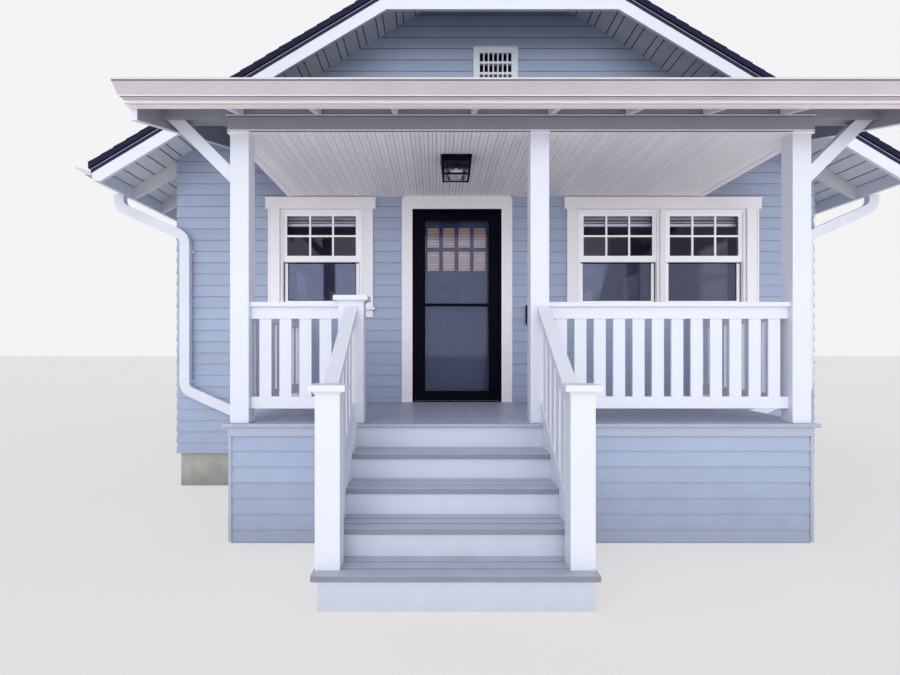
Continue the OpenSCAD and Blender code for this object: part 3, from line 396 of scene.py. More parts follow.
def toneMix(tree, colour, spread):
    # each board, tab or slat has a tone of its own, kept with its faces
    reader = tree.nodes.new("ShaderNodeAttribute")
    reader.attribute_name = "tone"
    return mixColour(tree, maskNode(tree, reader.outputs["Fac"], -0.5, 0.5), shade(colour, 1 - spread),
                     shade(colour, 1 + spread))


def facing(tree, axis, toward, away):
    # 1 where the surface points along the axis to the value toward, 0 at the value away
    apart = splitNode(tree, tree.nodes.new("ShaderNodeTexCoord").outputs["Normal"])
    return maskNode(tree, apart[axis], away, toward)


def srgb(r, g, b):
    # a screen colour, 0 to 255, as the light it stands for
    parts = (c / 255 for c in (r, g, b))
    return tuple(pow((c + 0.055) / 1.055, 2.4) if c > 0.0404 else c / 12.92 for c in parts) + (1.0,)


def shade(colour, k):
    return tuple(c * k for c in colour[:3]) + (1.0,)


def addWeather(tree, shader, coords, tone, dirt, amount, splash):
    aged = placeGroup(tree, weatherGroup, Vector=coords, Colour=tone, Dirt_Colour=dirt, Amount=amount,
                      Splash_Height=splash)
    tree.links.new(aged.outputs["Colour"], shader.inputs["Base Color"])


# Finishes

colours = dict(
    siding=(161, 173, 198), sidingTrim=(168, 176, 194), trim=(218, 221, 233), casing=(239, 236, 240),
    frame=(251, 251, 254), fascia=(246, 236, 237), soffit=(208, 210, 217), ceiling=(250, 245, 247),
    beam=(148, 149, 160), joint=(36, 36, 52), seam=(96, 92, 100), tread=(182, 187, 208),
    riser=(204, 211, 225), porchFloor=(172, 175, 197), blackDoor=(4, 6, 17), navyDoor=(56, 59, 90),
    shingle=(29, 30, 54), hem=(170, 174, 196), gutter=(202, 196, 203), bulb=(226, 224, 228),
    concrete=(172, 170, 164), room=(80, 78, 84), roomFloor=(110, 84, 62), dirt=(96, 92, 84),
    blind=(224, 170, 144), slat=(250, 247, 250), seal=(34, 34, 44))
paints = {name: srgb(*colour) for name, colour in colours.items()}

paintSettings = dict(
    sidingTrimPaint=dict(colour="sidingTrim", variation=0.05, dirtAmount=0.2),
    trimPaint=dict(colour="trim", variation=0.025, dirtAmount=0.12, splash=0.3, spread=0.04),
    casingPaint=dict(colour="casing", variation=0.02, dirtAmount=0.06, splash=0.1, spread=0.04),
    fasciaPaint=dict(colour="fascia", grain=(6, 60, 60), variation=0.02, dirtAmount=0.08),
    # whiter than the casing: painted light against the shade in the window's recess
    framePaint=dict(colour="frame", variation=0.03, dirtAmount=0.08, spread=0.04),
    # greyer and bluer than the trim's white: painted shade
    riserPaint=dict(colour="riser", variation=0.04, dirtAmount=0.2, spread=0.04),
    ceilingPaint=dict(colour="ceiling", grain=(90, 5, 90), variation=0.03, dirtAmount=0.06, spread=0.06),
    # near black: painted shade, seen through the open joints of the boards under the overhangs and as a line
    # on the beam
    deckPaint=dict(colour="joint", variation=0.1, dirtAmount=0.1),
    soffitPaint=dict(colour="soffit", grain=(90, 5, 90), variation=0.07, dirtAmount=0.2, spread=0.1),
    beamPaint=dict(colour="beam", grain=(5, 80, 80), dirtAmount=0.2),
    porchBoardPaint=dict(colour="porchFloor", grain=(110, 6, 60), variation=0.07, dirtAmount=0.3, splash=0.2,
                         rough=0.4, spread=0.06),
    # the nosings' front faces are darkened: painted shade
    treadPaint=dict(colour="tread", grain=(3, 160, 60), variation=0.04, bump=0.15, dirtAmount=0.35,
                    splash=0.25, rough=0.4, worn=("Y", -0.9, -0.5, 0.5)),
    # dark grey: painted shade in the porch ceiling's joints, along the gutters and in the tread gaps
    seamPaint=dict(colour="seam"),
    navyPaint=dict(colour="navyDoor", ownDirt=0.5, grain=(60, 60, 6), variation=0.08, dirtAmount=0.1,
                   rough=0.38, specular=0.2),
    roomPaint=dict(colour="room", variation=0.03, dirtAmount=0.0),
    roomBoards=dict(colour="roomFloor", grain=(70, 4, 70), variation=0.14, dirtAmount=0.0, rough=0.35,
                    boards=("X", 0.09, 0.003)),
    blindCloth=dict(colour="blind", grain=(40, 40, 240), variation=0.1, dirtAmount=0.0, rough=0.8, bump=0.5,
                    spread=0.2),
    sealRubber=dict(colour="seal", ownDirt=2.0, variation=0.1, dirtAmount=0.15, rough=0.6),
    slatPaint=dict(colour="slat", variation=0.03, dirtAmount=0.0, rough=0.4))
paintRecipe = dict(patches=dict(scale=2.3, low=0.3, high=0.7), strokes=(0.35, 0.65, 0.5), strokeTone=0.8,
                   boardTone=2.2, jointPart=0.75, jointShade=0.22, jointDepth=4.0, glossy=0.07, dull=0.12,
                   bumpDepth=0.0012)
glossBand = (0.2, 0.8)  # the part of the strokes' range over which the roughness changes


def makePaint(name, colour, ownDirt=None, grain=(60, 60, 60), variation=0.06, dirtAmount=0.25, splash=0.45,
              rough=0.45, bump=0.25, boards=None, spread=0.12, specular=0.5, worn=None):
    # brushed house paint; boards=(axis, width, joint width) draws board joints across that axis, and
    # worn=(axis, toward, away, part) darkens the faces that point that way, a painted shade
    colour, s = paints[colour], paintRecipe
    dirt = shade(colour, ownDirt) if ownDirt else paints["dirt"]
    material, tree, shader, coords = startMaterial(name, IOR=1.45, Specular_IOR_Level=specular)
    strokes = placeGroup(tree, brushGroup, Vector=stretchNode(tree, coords, grain), Strength=1.0)
    tone = toneMix(tree, colour, spread)
    tone = mixColour(tree, patchMask(tree, coords, **s["patches"]), tone,
                     mixColour(tree, 1.0, tone, shade((1, 1, 1), 1 - variation), "MULTIPLY"))
    tone = mixColour(tree, maskNode(tree, strokes.outputs["Mask"], *s["strokes"]), tone,
                     shade(colour, 1 - variation * s["strokeTone"]))
    height = strokes.outputs["Height"]
    if boards:
        axis, width, joint = boards
        board = placeGroup(tree, boardGroup, Along=splitNode(tree, coords)[axis], Width=width, Joint=joint)
        seam = board.outputs["Joint Mask"]
        tone = mixColour(tree, maskNode(tree, board.outputs["Board Value"], 0, 1, 0.5), tone,
                         shade(colour, 1 - variation * s["boardTone"]))
        tone = mixColour(tree, mathNode(tree, "MULTIPLY", seam, s["jointPart"]), tone,
                         shade(colour, s["jointShade"]))
        height = mathNode(tree, "SUBTRACT", height, mathNode(tree, "MULTIPLY", seam, s["jointDepth"]))
    # faces that point that way are darkened: painted shade
    if worn:
        axis, toward, away, part = worn
        tone = mixColour(tree, facing(tree, axis, toward, away), tone, shade(colour, part))
    addWeather(tree, shader, coords, tone, dirt, dirtAmount, splash)
    tree.links.new(rangeNode(tree, strokes.outputs["Mask"], *glossBand, rough - s["glossy"],
                             rough + s["dull"]), shader.inputs["Roughness"])
    addBump(tree, shader, height, bump, s["bumpDepth"])
    return material


sidingRecipe = dict(grain=(7, 7, 120), spread=0.05, strokes=(0.4, 0.7, 0.4), strokeTone=0.92, patchTone=0.94,
                    patches=dict(scale=1.4, detail=5, low=0.35, high=0.7, most=0.5), under=(-0.9, -0.6),
                    underTone=0.16, dirtAmount=0.28, splash=0.5, rough=(0.45, 0.65), bump=(0.3, 0.001))


def makeSidingPaint(name, colour, s):
    # lap boards: each has a tone of its own, with grain along it, and the faces under its butt darkened as
    # painted shade
    material, tree, shader, coords = startMaterial(name, IOR=1.45, Specular_IOR_Level=0.4)
    strokes = placeGroup(tree, brushGroup, Vector=stretchNode(tree, coords, s["grain"]), Strength=1.0)
    tone = toneMix(tree, colour, s["spread"])
    tone = mixColour(tree, patchMask(tree, coords, **s["patches"]), tone, shade(colour, s["patchTone"]))
    tone = mixColour(tree, maskNode(tree, strokes.outputs["Mask"], *s["strokes"]), tone,
                     shade(colour, s["strokeTone"]))
    # faces that point down, under each butt, get a painted shade
    tone = mixColour(tree, facing(tree, "Z", *s["under"]), tone, shade(colour, s["underTone"]))
    addWeather(tree, shader, coords, tone, paints["dirt"], s["dirtAmount"], s["splash"])
    tree.links.new(rangeNode(tree, strokes.outputs["Mask"], *glossBand, *s["rough"]),
                   shader.inputs["Roughness"])
    addBump(tree, shader, strokes.outputs["Height"], *s["bump"])
    return material


shingleRecipe = dict(granules=240, spread=0.4, bright=(0.2, 1.0, 0.6), brightTone=2.2,
                     patches=dict(scale=0.8, low=0.4, high=0.7, most=0.5, roughness=0.5), patchTone=0.75,
                     bump=(0.5, 0.002))


def makeShingle(name, colour, s):
    # mineral granules, a tone of its own for each tab, and faint patches
    material, tree, shader, coords = startMaterial(name, IOR=1.4, Specular_IOR_Level=0.3, Roughness=0.92)
    cell = tree.nodes.new("ShaderNodeTexVoronoi")
    cell.inputs["Scale"].default_value = s["granules"]
    tree.links.new(coords, cell.inputs["Vector"])
    info = tree.nodes.new("ShaderNodeSeparateColor")
    tree.links.new(cell.outputs["Color"], info.inputs[0])
    tone = toneMix(tree, colour, s["spread"])
    tone = mixColour(tree, maskNode(tree, info.outputs["Red"], *s["bright"]), tone,
                     shade(colour, s["brightTone"]))
    tone = mixColour(tree, patchMask(tree, coords, **s["patches"]), tone, shade(colour, s["patchTone"]))
    tree.links.new(tone, shader.inputs["Base Color"])
    addBump(tree, shader, cell.outputs["Distance"], *s["bump"])
    return material


metalSettings = dict(
    edgeMetal=dict(colour="shingle", rough=0.45, specular=0.3), hemMetal=dict(colour="hem"),
    gutterEnamel=dict(colour="gutter", rough=0.35, dirt=0.06), spoutEnamel=dict(colour="trim", rough=0.35),
    blackEnamel=dict(colour="blackDoor", rough=0.34, dirt=0.05, specular=0.06),
    bulbPaint=dict(colour="bulb", rough=0.2, dirt=0.0))
metalRecipe = dict(fine=(90, 4, 0.6), patches=dict(scale=3, detail=5, low=0.4, high=0.75, most=0.7),
                   spread=0.1, patchTone=0.88, dirtTone=0.45, splash=0.35, fineBand=(0.3, 0.7), glossy=0.06,
                   dull=0.08, bump=(0.12, 0.0006))


def makeMetal(name, colour, rough=0.4, dirt=0.15, specular=0.5):
    # sheet metal and bars under enamel
    colour, s = paints[colour], metalRecipe
    material, tree, shader, coords = startMaterial(name, IOR=1.5, Specular_IOR_Level=specular)
    fine = noiseNode(tree, coords, *s["fine"])
    tone = mixColour(tree, patchMask(tree, coords, **s["patches"]), toneMix(tree, colour, s["spread"]),
                     shade(colour, s["patchTone"]))
    addWeather(tree, shader, coords, tone, shade(colour, s["dirtTone"]), dirt, s["splash"])
    tree.links.new(rangeNode(tree, fine, *s["fineBand"], rough - s["glossy"], rough + s["dull"]),
                   shader.inputs["Roughness"])
    addBump(tree, shader, fine, *s["bump"])
    return material


glassSettings = dict(
    upperGlass=dict(tint=(0.92, 0.92, 0.98, 1), bend=1.32, sheen=(0.75, 0.75, 1, 1)),
    # the lower panes mirror stronger and bluer than the upper: a painted reflection
    lowerGlass=dict(tint=(0.80, 0.82, 0.92, 1), bend=1.75, sheen=(0.62, 0.68, 1, 1)),
    doorGlass=dict(tint=(0.93, 0.96, 1, 1), bend=1.31, sheen=(0.76, 0.86, 1, 1)),
    lanternGlass=dict(tint=(0.97, 0.97, 1.0, 1), bend=1.3, sheen=(0.7, 0.7, 1, 1)))
glassRecipe = dict(smear=(5, 4, 0.6), smearBand=(0.4, 0.8), rough=0.02, smeared=0.07, wave=(1.5, 2),
                   bump=(0.04, 0.002), through=0.98)


def makeGlass(name, tint, bend, sheen):
    # clear to light and to shadows, with its gloss kept
    s = glassRecipe
    material, tree, shader, coords = startMaterial(name, Base_Color=tint, IOR=bend, Transmission_Weight=1.0,
                                                   Specular_IOR_Level=0.5, Specular_Tint=sheen)
    smear = noiseNode(tree, coords, *s["smear"])
    tree.links.new(rangeNode(tree, smear, *s["smearBand"], s["rough"], s["smeared"]),
                   shader.inputs["Roughness"])
    addBump(tree, shader, noiseNode(tree, coords, *s["wave"]), *s["bump"])
    through = tree.nodes.new("ShaderNodeBsdfTransparent")
    through.inputs["Color"].default_value = shade(tint, s["through"])
    path = tree.nodes.new("ShaderNodeLightPath").outputs
    passing = mathNode(tree, "MAXIMUM", path["Is Shadow Ray"], path["Is Diffuse Ray"])
    tree.links.new(mixShaders(tree, passing, shader.outputs["BSDF"], through.outputs["BSDF"]),
                   tree.nodes["Material Output"].inputs["Surface"])
    return material


concreteRecipe = dict(broad=(2.5, 6, 0.65), grit=(120, 3, 0.6), broadBand=(0.35, 0.7), tones=(0.82, 1.08),
                      gritBand=(0.55, 0.75, 0.4), gritTone=0.6, dirtTone=0.35, dirtAmount=0.5, splash=0.22,
                      gritHeight=0.4, bump=(0.5, 0.003))


def makeConcrete(name, colour, s):
    # cast concrete, blotched and gritty
    material, tree, shader, coords = startMaterial(name, IOR=1.45, Roughness=0.88)
    broad, grit = noiseNode(tree, coords, *s["broad"]), noiseNode(tree, coords, *s["grit"])
    tone = mixColour(tree, maskNode(tree, broad, *s["broadBand"]), *(shade(colour, k) for k in s["tones"]))
    tone = mixColour(tree, maskNode(tree, grit, *s["gritBand"]), tone, shade(colour, s["gritTone"]))
    addWeather(tree, shader, coords, tone, shade(colour, s["dirtTone"]), s["dirtAmount"], s["splash"])
    height = mathNode(tree, "ADD", broad, mathNode(tree, "MULTIPLY", grit, s["gritHeight"]))
    addBump(tree, shader, height, *s["bump"])
    return material


finishes = dict(sidingPaint=makeSidingPaint("sidingPaint", paints["siding"], sidingRecipe),
                roofShingle=makeShingle("roofShingle", paints["shingle"], shingleRecipe),
                stemConcrete=makeConcrete("stemConcrete", paints["concrete"], concreteRecipe))
for make, table in ((makePaint, paintSettings), (makeMetal, metalSettings), (makeGlass, glassSettings)):
    for name, s in table.items():
        finishes[name] = make(name, **s)
print("finishes made:", len(finishes))

nodesOfFinish = dict(
    stemConcrete="foundation", roomBoards="floor",
    roomPaint="ceiling front_wall_left front_wall_right front_wall_over_door left_wall right_wall rear_wall",
    sidingPaint="front_gable porch_skirt_front porch_skirt_sides",
    deckPaint="roof_boards_left roof_boards_right roof_boards_clips",
    roofShingle="shingles_left shingles_right shingles_clips ridge_cap porch_shingles",
    soffitPaint="rafter_tails porch_roof_boards", gutterEnamel="eave_gutters porch_gutter",
    spoutEnamel="downspouts", framePaint="window_frames", upperGlass="window_glass",
    casingPaint="window_casings door_casing door_frame",
    blackEnamel="storm_frame_bars door_hinges storm_door storm_door_handle storm_door_hinges lantern "
                "letter_box front_door_fittings",
    doorGlass="storm_door_glass front_door_glass", navyPaint="front_door", porchBoardPaint="porch_floor",
    beamPaint="porch_beam porch_side_beams", seamPaint="porch_ceiling", fasciaPaint="porch_fascia",
    treadPaint="stair_treads", riserPaint="stair_risers", lanternGlass="lantern_glass",
    trimPaint="gable_vents barge_boards eave_fascias porch_posts knee_braces porch_barges stair_stringers "
              "newels stair_rails porch_railings")
finishOfNode = {node: finish for finish, group in nodesOfFinish.items() for node in group.split()}
for name, piece in nodes.items():
    piece.data.materials.clear()
    piece.data.materials.append(finishes[finishOfNode[name]])

splitSettings = dict(lowerPanesUnder=2.405, bulbRadius=0.032, bulbOver=0.012)


def splitFinishes(s):
    # the lower sashes' panes mirror more and bluer, a painted reflection of a bright sky, and a frosted bulb
    # hangs over the lantern's foot pane
    panes = nodes["window_glass"].data
    panes.materials.append(finishes["lowerGlass"])
    for face in panes.polygons:
        face.material_index = int(face.center.z < s["lowerPanesUnder"])
    lamp = nodes["lantern_glass"].data
    lamp.materials.append(finishes["bulbPaint"])
    lo, hi = boxOf("lantern")
    for face in lamp.polygons:
        off = (face.center - (lo + hi) / 2).xy.length
        face.material_index = int(off < s["bulbRadius"] and face.center.z > lo.z + s["bulbOver"])


splitFinishes(splitSettings)
print("nodes finished:", len(nodes))


# Lap siding

lapSettings = dict(start=1.888, exposure=0.119, butt=0.0125, top=0.003, boardLength=3.66, jointGap=0.0012,
                   firstBoard=(0.3, 1.0), lastBoard=0.25, leastCourse=0.004, leastSpan=0.002, leastRise=0.003,
                   tone=0.5)
skirtLaps = dict(lapSettings, start=0.221, exposure=0.1172)


def addLapPiece(bm, s, low, x0, x1, z0, z1, mitreLeft, mitreRight, tone):
    # a board's face leans out from its top to its butt, for a course that starts at low
    for v in addBlock(bm, (x0, -1, z0), (x1, 0.0, z1), tone):
        if v.co.y < -0.5:
            part = (v.co.z - low) / s["exposure"]
            out = s["butt"] + (s["top"] - s["butt"]) * part
            v.co.y = -out
            if mitreLeft and v.co.x < x0 + hair:
                v.co.x -= out
            if mitreRight and v.co.x > x1 - hair:
                v.co.x += out


def layBoards(bm, s, dice, low, ends, left, right, lo, hi, mitres):
    # one course between two openings, in board lengths with a fine joint between them
    joints = [left]
    x = left + dice.uniform(*s["firstBoard"]) * s["boardLength"]
    while x < right - s["lastBoard"]:
        joints.append(x)
        x += s["boardLength"]
    joints.append(right)
    for i, (a, b) in enumerate(zip(joints, joints[1:])):
        gapL = s["jointGap"] if i else 0
        gapR = s["jointGap"] if i < len(joints) - 2 else 0
        addLapPiece(bm, s, low, a + gapL, b - gapR, lo, hi, mitres[0] and a <= ends[0] + hair,
                    mitres[1] and b >= ends[1] - hair, dice.uniform(-s["tone"], s["tone"]))


def lapWall(name, x0, x1, z0, z1, openings, place, seed, s=lapSettings, mitres=(True, True), trims=()):
    # lap boards over a wall: x runs along it, -y out of it; openings are (x0, x1, z0, z1)
    dice = random.Random(seed)
    bm = startMesh()
    k = math.floor((z0 - s["start"]) / s["exposure"])
    while s["start"] + k * s["exposure"] < z1 - s["leastCourse"]:
        low = s["start"] + k * s["exposure"]
        a, b = max(low, z0), min(low + s["exposure"], z1)
        k += 1
        if b - a < s["leastCourse"]:
            continue
        level = [o for o in openings if o[3] > a and o[2] < b]
        cuts = sorted({x0, x1} | {e for o in level for e in o[:2]})
        for left, right in zip(cuts, cuts[1:]):
            if right - left < s["leastSpan"]:
                continue
            hole = [o for o in level if o[0] <= left + hair and o[1] >= right - hair]
            for lo, hi in [(a, hole[0][2]), (hole[0][3], b)] if hole else [(a, b)]:
                if hi - lo >= s["leastRise"]:
                    layBoards(bm, s, dice, low, (x0, x1), left, right, lo, hi, mitres)
    for point, normal in trims:
        trimBy(bm, point, normal)
    bmesh.ops.transform(bm, matrix=place, verts=bm.verts[:])
    finishPiece(name, bm, "sidingPaint")


houseSizes = dict(sidingLow=boxOf("left_wall")[0].z, eaveZ=3.46, pitch=0.6, overhang=0.62, clipHalf=1.1,
                  frontWindows=(-1.846, 1.3045, 2.2195), sideWindows=(-3.1, 0.1, 3.2),
                  rearWindows=(-1.7, 1.7), winZ=1.888, headZ=2.927, winHalf=0.43, holeSide=0.05, holeEnd=0.02,
                  vent=(0.235, 4.189, 4.640), ventRim=0.01, doorUnder=0.06, skirtLow=0.012, sidesTop=0.002)
midY, halfLen = (frontY + rearY) / 2, (rearY - frontY) / 2
frontPlace, rearPlace = turned((0, frontY, 0), 0), turned((0, rearY, 0), 180)
leftPlace, rightPlace = turned((-halfW, midY, 0), -90), turned((halfW, midY, 0), 90)


def windowHole(s, x0, x1):
    half = s["winHalf"] + s["holeSide"]
    return x0 - half, x1 + half, s["winZ"] - s["holeEnd"], s["headZ"] + s["holeEnd"]


def sideHouse(s):
    # the four walls with their openings; the gable walls are cut along the slopes and the clipped peak
    door = boxOf("door_casing")
    half, low, high = s["vent"]
    rim = s["ventRim"]
    ventHole = (rim - half, half - rim, low + rim, high - rim)
    single, *pair = s["frontWindows"]
    doorHole = (door[0].x + rim, door[1].x - rim, boxOf("floor")[1].z - s["doorUnder"], door[1].z)
    frontHoles = [windowHole(s, single, single), windowHole(s, *pair), doorHole, ventHole]
    rearHoles = [windowHole(s, x, x) for x in s["rearWindows"]] + [ventHole]
    sideHoles = [windowHole(s, x, x) for x in s["sideWindows"]]
    lean = math.atan(s["pitch"])
    up = Vector((math.sin(lean), 0, math.cos(lean)))
    cuts = [((-halfW, 0, s["eaveZ"]), (-up.x, 0, up.z)), ((halfW, 0, s["eaveZ"]), up),
            ((0, 0, s["eaveZ"] + s["pitch"] * (halfW - s["clipHalf"] + s["overhang"])), (0, 0, 1))]
    peak, sides = s["eaveZ"] + s["pitch"] * halfW, s["eaveZ"] - s["sidesTop"]
    for label, place, wide, top, holes, trims, seed in (
            ("Front", frontPlace, halfW, peak, frontHoles, cuts, 3),
            ("Rear", rearPlace, halfW, peak, rearHoles, cuts, 4),
            ("Left", leftPlace, halfLen, sides, sideHoles, (), 5),
            ("Right", rightPlace, halfLen, sides, sideHoles, (), 6)):
        lapWall("siding" + label, -wide, wide, s["sidingLow"], top, holes, place, seed, trims=trims)


def sideSkirt(s):
    lo, hi = boxOf("porch_skirt_front")
    lapWall("sidingSkirtFront", lo.x, hi.x, s["skirtLow"], hi.z, [], turned((0, lo.y, 0), 0), 7, skirtLaps)
    half = (frontY - lo.y) / 2
    for label, side in (("Left", -1), ("Right", 1)):
        lapWall("sidingSkirt" + label, -half, half, s["skirtLow"], hi.z, [],
                turned((side * hi.x, frontY - half, 0), side * 90), 8 + side, skirtLaps, (side > 0, side < 0))


sideHouse(houseSizes)
sideSkirt(houseSizes)
print("siding laid")


# Roof: tabs, caps, edge flashing and the boards under the overhangs

roofSizes = dict(deckEdge=3.895, deckTop=0.0252, shingleTop=0.0794, drip=0.018, fasciaIn=3.842, bargeT=0.04,
                 porchPitch=0.257, porchZ=3.724, porchRun=2.186, porchHalf=2.734, porchTop=0.0504,
                 porchDeckTop=0.0202, porchStart=0.03, tabsBack=0.0006, tabsOver=0.002, clipTabsBack=0.0032,
                 porchTabsOver=0.003)
pitch, overhang, clipHalf = (houseSizes[key] for key in ("pitch", "overhang", "clipHalf"))
ridgeZ = houseSizes["eaveZ"] + pitch * halfW
frontApex, rearApex = frontY - overhang + clipHalf, rearY + overhang - clipHalf


def slopePlace(origin, down, pitch):
    # a roof slope's own frame: x runs level along it, y runs down it measured level, z stands upright
    along = (abs(down[1]), abs(down[0]))
    return Matrix(((along[0], down[0], 0, origin[0]), (along[1], down[1], 0, origin[1]),
                   (0, -pitch, 1, origin[2]), (0, 0, 0, 1)))


rightSlope, leftSlope = (slopePlace((0, 0, ridgeZ), (side, 0), pitch) for side in (1, -1))
frontClip = slopePlace((0, frontApex, ridgeZ), (0, -1), pitch)
rearClip = slopePlace((0, rearApex, ridgeZ), (0, 1), pitch)
porchSlope = slopePlace((0, frontY, roofSizes["porchZ"]), (0, -1), roofSizes["porchPitch"])
cutFront, cutRear = (0, frontApex, 0), (0, rearApex, 0)
hipCuts = dict(right=[(cutFront, (-1, -1, 0)), (cutRear, (-1, 1, 0))],
               left=[(cutFront, (1, -1, 0)), (cutRear, (1, 1, 0))],
               front=[(cutFront, (1, 1, 0)), (cutFront, (-1, 1, 0))],
               rear=[(cutRear, (1, -1, 0)), (cutRear, (-1, -1, 0))])

tabSettings = dict(width=0.305, exposure=0.12, lap=0.035, butt=0.010, buttPlay=0.0015, gap=0.006, least=0.02,
                   sidePlay=0.02, edgePlay=0.003, bury=0.002, topRise=0.0006, tone=0.5)
capSettings = dict(half=0.125, exposure=0.125, lap=0.04, butt=0.0138, top=0.0105, bury=0.003, tone=0.4)


def layTabs(name, place, start, end, run, lift, cuts, seed, s=tabSettings):
    # courses of tabs from the eave up, each thick at its butt and thin at its top
    dice = random.Random(seed)
    bm = startMesh()
    for i in range(math.ceil(run / s["exposure"])):
        low = run - i * s["exposure"]
        high = max(low - s["exposure"] - s["lap"], 0.0)
        butt = s["butt"] + dice.uniform(-s["buttPlay"], s["buttPlay"])
        u = start - (i % 2) * s["width"] / 2 - dice.uniform(0, s["sidePlay"])
        while u < end:
            a, b = max(u + s["gap"] / 2, start), min(u + s["width"] - s["gap"] / 2, end)
            if b - a > s["least"]:
                foot = low + dice.uniform(0, s["edgePlay"])
                made = addBlock(bm, (a, high, lift - s["bury"]), (b, foot, lift + butt),
                                dice.uniform(-s["tone"], s["tone"]))
                for v in made:
                    if v.co.z > lift and v.co.y < (low + high) / 2:
                        v.co.z = lift + s["topRise"]
            u += s["width"]
    bmesh.ops.transform(bm, matrix=place, verts=bm.verts[:])
    for point, normal in cuts:
        trimBy(bm, point, normal)
    finishPiece(name, bm, "roofShingle")


def layRoof(s):
    reach = overhang + s["drip"] - s["tabsBack"]
    lift, run = s["shingleTop"], s["deckEdge"] + s["drip"] + s["tabsOver"]
    clipRun = clipHalf + s["drip"] - s["clipTabsBack"]
    for label, slope, seed in (("Right", rightSlope, 11), ("Left", leftSlope, 12)):
        layTabs("tabs" + label, slope, frontY - reach, rearY + reach, run, lift, hipCuts[label.lower()], seed)
    for label, slope, seed in (("Front", frontClip, 13), ("Rear", rearClip, 14)):
        layTabs("tabs" + label + "Clip", slope, -clipRun, clipRun, clipRun, lift, hipCuts[label.lower()],
                seed)
    half = s["porchHalf"] + s["porchTabsOver"]
    layTabs("tabsPorch", porchSlope, -half, half, s["porchRun"], s["porchTop"], [], 15)
    return reach


def addCaps(bm, place, length, side, seed, s=capSettings):
    # one wing of a row of cap shingles: x runs along the row, its butt end is the far one
    dice = random.Random(seed)
    lift = roofSizes["shingleTop"]
    for i in range(math.ceil(length / s["exposure"])):
        low = length - i * s["exposure"]
        high = max(low - s["exposure"] - s["lap"], 0.0)
        made = addBlock(bm, (high, 0, lift - s["bury"]), (low, side * s["half"], lift + s["butt"]),
                        dice.uniform(-s["tone"], s["tone"]))
        for v in made:
            if v.co.z > lift and v.co.x < (low + high) / 2:
                v.co.z = lift + s["top"]
        bmesh.ops.transform(bm, matrix=place, verts=made)


def capRoof(reach):
    bm = startMesh()
    for slope in (rightSlope, leftSlope):
        addCaps(bm, slope @ turned((frontApex, 0, 0), 0), rearApex - frontApex, 1, 21)
    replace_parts(finishPiece("ridgeCaps", bm, "roofShingle"), "ridge_cap")
    length = (clipHalf + roofSizes["drip"]) * math.sqrt(2) + capSettings["half"]
    bm = startMesh()
    for slope, end, degrees, side in ((rightSlope, frontApex, 135, -1), (rightSlope, rearApex, 45, 1),
                                      (leftSlope, frontApex, 135, -1), (leftSlope, rearApex, 45, 1),
                                      (frontClip, 0, 45, 1), (frontClip, 0, 135, -1), (rearClip, 0, 45, 1),
                                      (rearClip, 0, 135, -1)):
        addCaps(bm, slope @ turned((end, 0, 0), degrees), length, side, 31)
    trimBy(bm, (0, frontY - reach, 0), (0, -1, 0))
    trimBy(bm, (0, rearY + reach, 0), (0, 1, 0))
    finishPiece("hipCaps", bm, "roofShingle")


capRoof(layRoof(roofSizes))

# dark edge flashing over the roof boards' edges, with a fine hem whose bright colour is a painted highlight
flashingSettings = dict(thick=0.0025, drop=0.026, hemLow=0.0075, hemHigh=0.0125, hemOut=0.0055)


def addFlashing(meshes, place, u, v0, v1, out, along="v", top=roofSizes["deckTop"], s=flashingSettings):
    # along a rake (v runs down the slope at the place u) or along an eave (v is the place, u0 to u1)
    layers = (-s["drop"], top, s["thick"]), (s["hemLow"], s["hemHigh"], s["hemOut"])
    for bm, (low, high, proud) in zip(meshes, layers):
        near, far = u - out * clear, u + out * (proud + clear)
        if along == "v":
            addBlock(bm, (near, v0, low), (far, v1, high), 0, place)
        else:
            addBlock(bm, (v0, near, low), (v1, far, high), 0, place)


def flashRoof(s):
    meshes = startMesh(), startMesh()
    front, rear, edge = frontY - overhang, rearY + overhang, s["deckEdge"]
    for slope in (rightSlope, leftSlope):
        addFlashing(meshes, slope, front, clipHalf, edge, -1)
        addFlashing(meshes, slope, rear, clipHalf, edge, 1)
        addFlashing(meshes, slope, edge, front, rear, 1, "u")
    for slope in (frontClip, rearClip):
        addFlashing(meshes, slope, clipHalf, -clipHalf, clipHalf, 1, "u")
    lo, hi = boxOf("porch_roof_boards")
    for side in (-1, 1):
        addFlashing(meshes, porchSlope, side * hi.x, s["porchStart"], frontY - lo.y, side, "v",
                    s["porchDeckTop"])
    finishPiece("edgeFlashing", meshes[0], "edgeMetal")
    finishPiece("edgeHem", meshes[1], "hemMetal")


flashRoof(roofSizes)

# boards under the overhangs, in wide and narrow widths with open joints
soffitSettings = dict(thick=0.003, joint=0.0105, start=-0.0076, upper=(0.068, 0.1273), lower=0.118,
                      change=3.35, least=0.01, leastShown=0.02, eaveStart=0.0145, bury=0.0001, tone=0.5)


def soffitWidths(s, end):
    # narrow and wide by turns from the ridge down, then even ones over the eave
    v, i = s["start"], 0
    while v < end - s["least"]:
        w = s["upper"][i % 2] if v < s["change"] else s["lower"]
        yield v, min(v + w, end)
        v += w
        i += 1


def laySoffit(name, slope, spans, cuts, seed, low=0.0, high=None, s=soffitSettings):
    # spans are (start, end) along the slope; low and high are how far down it the boards reach
    dice = random.Random(seed)
    bm = startMesh()
    for start, end in spans:
        for v0, v1 in soffitWidths(s, roofSizes["fasciaIn"] - sunk):
            if v1 <= low + s["leastShown"] or (high and v0 >= high):
                continue
            v0, v1 = max(v0, low), min(v1, high or v1)
            addBlock(bm, (start, v0 + s["joint"] / 2, -s["thick"]), (end, v1 - s["joint"] / 2, s["bury"]),
                     dice.uniform(-s["tone"], s["tone"]), slope)
    for point, normal in cuts:
        trimBy(bm, point, normal)
    finishPiece(name, bm, "soffitPaint")


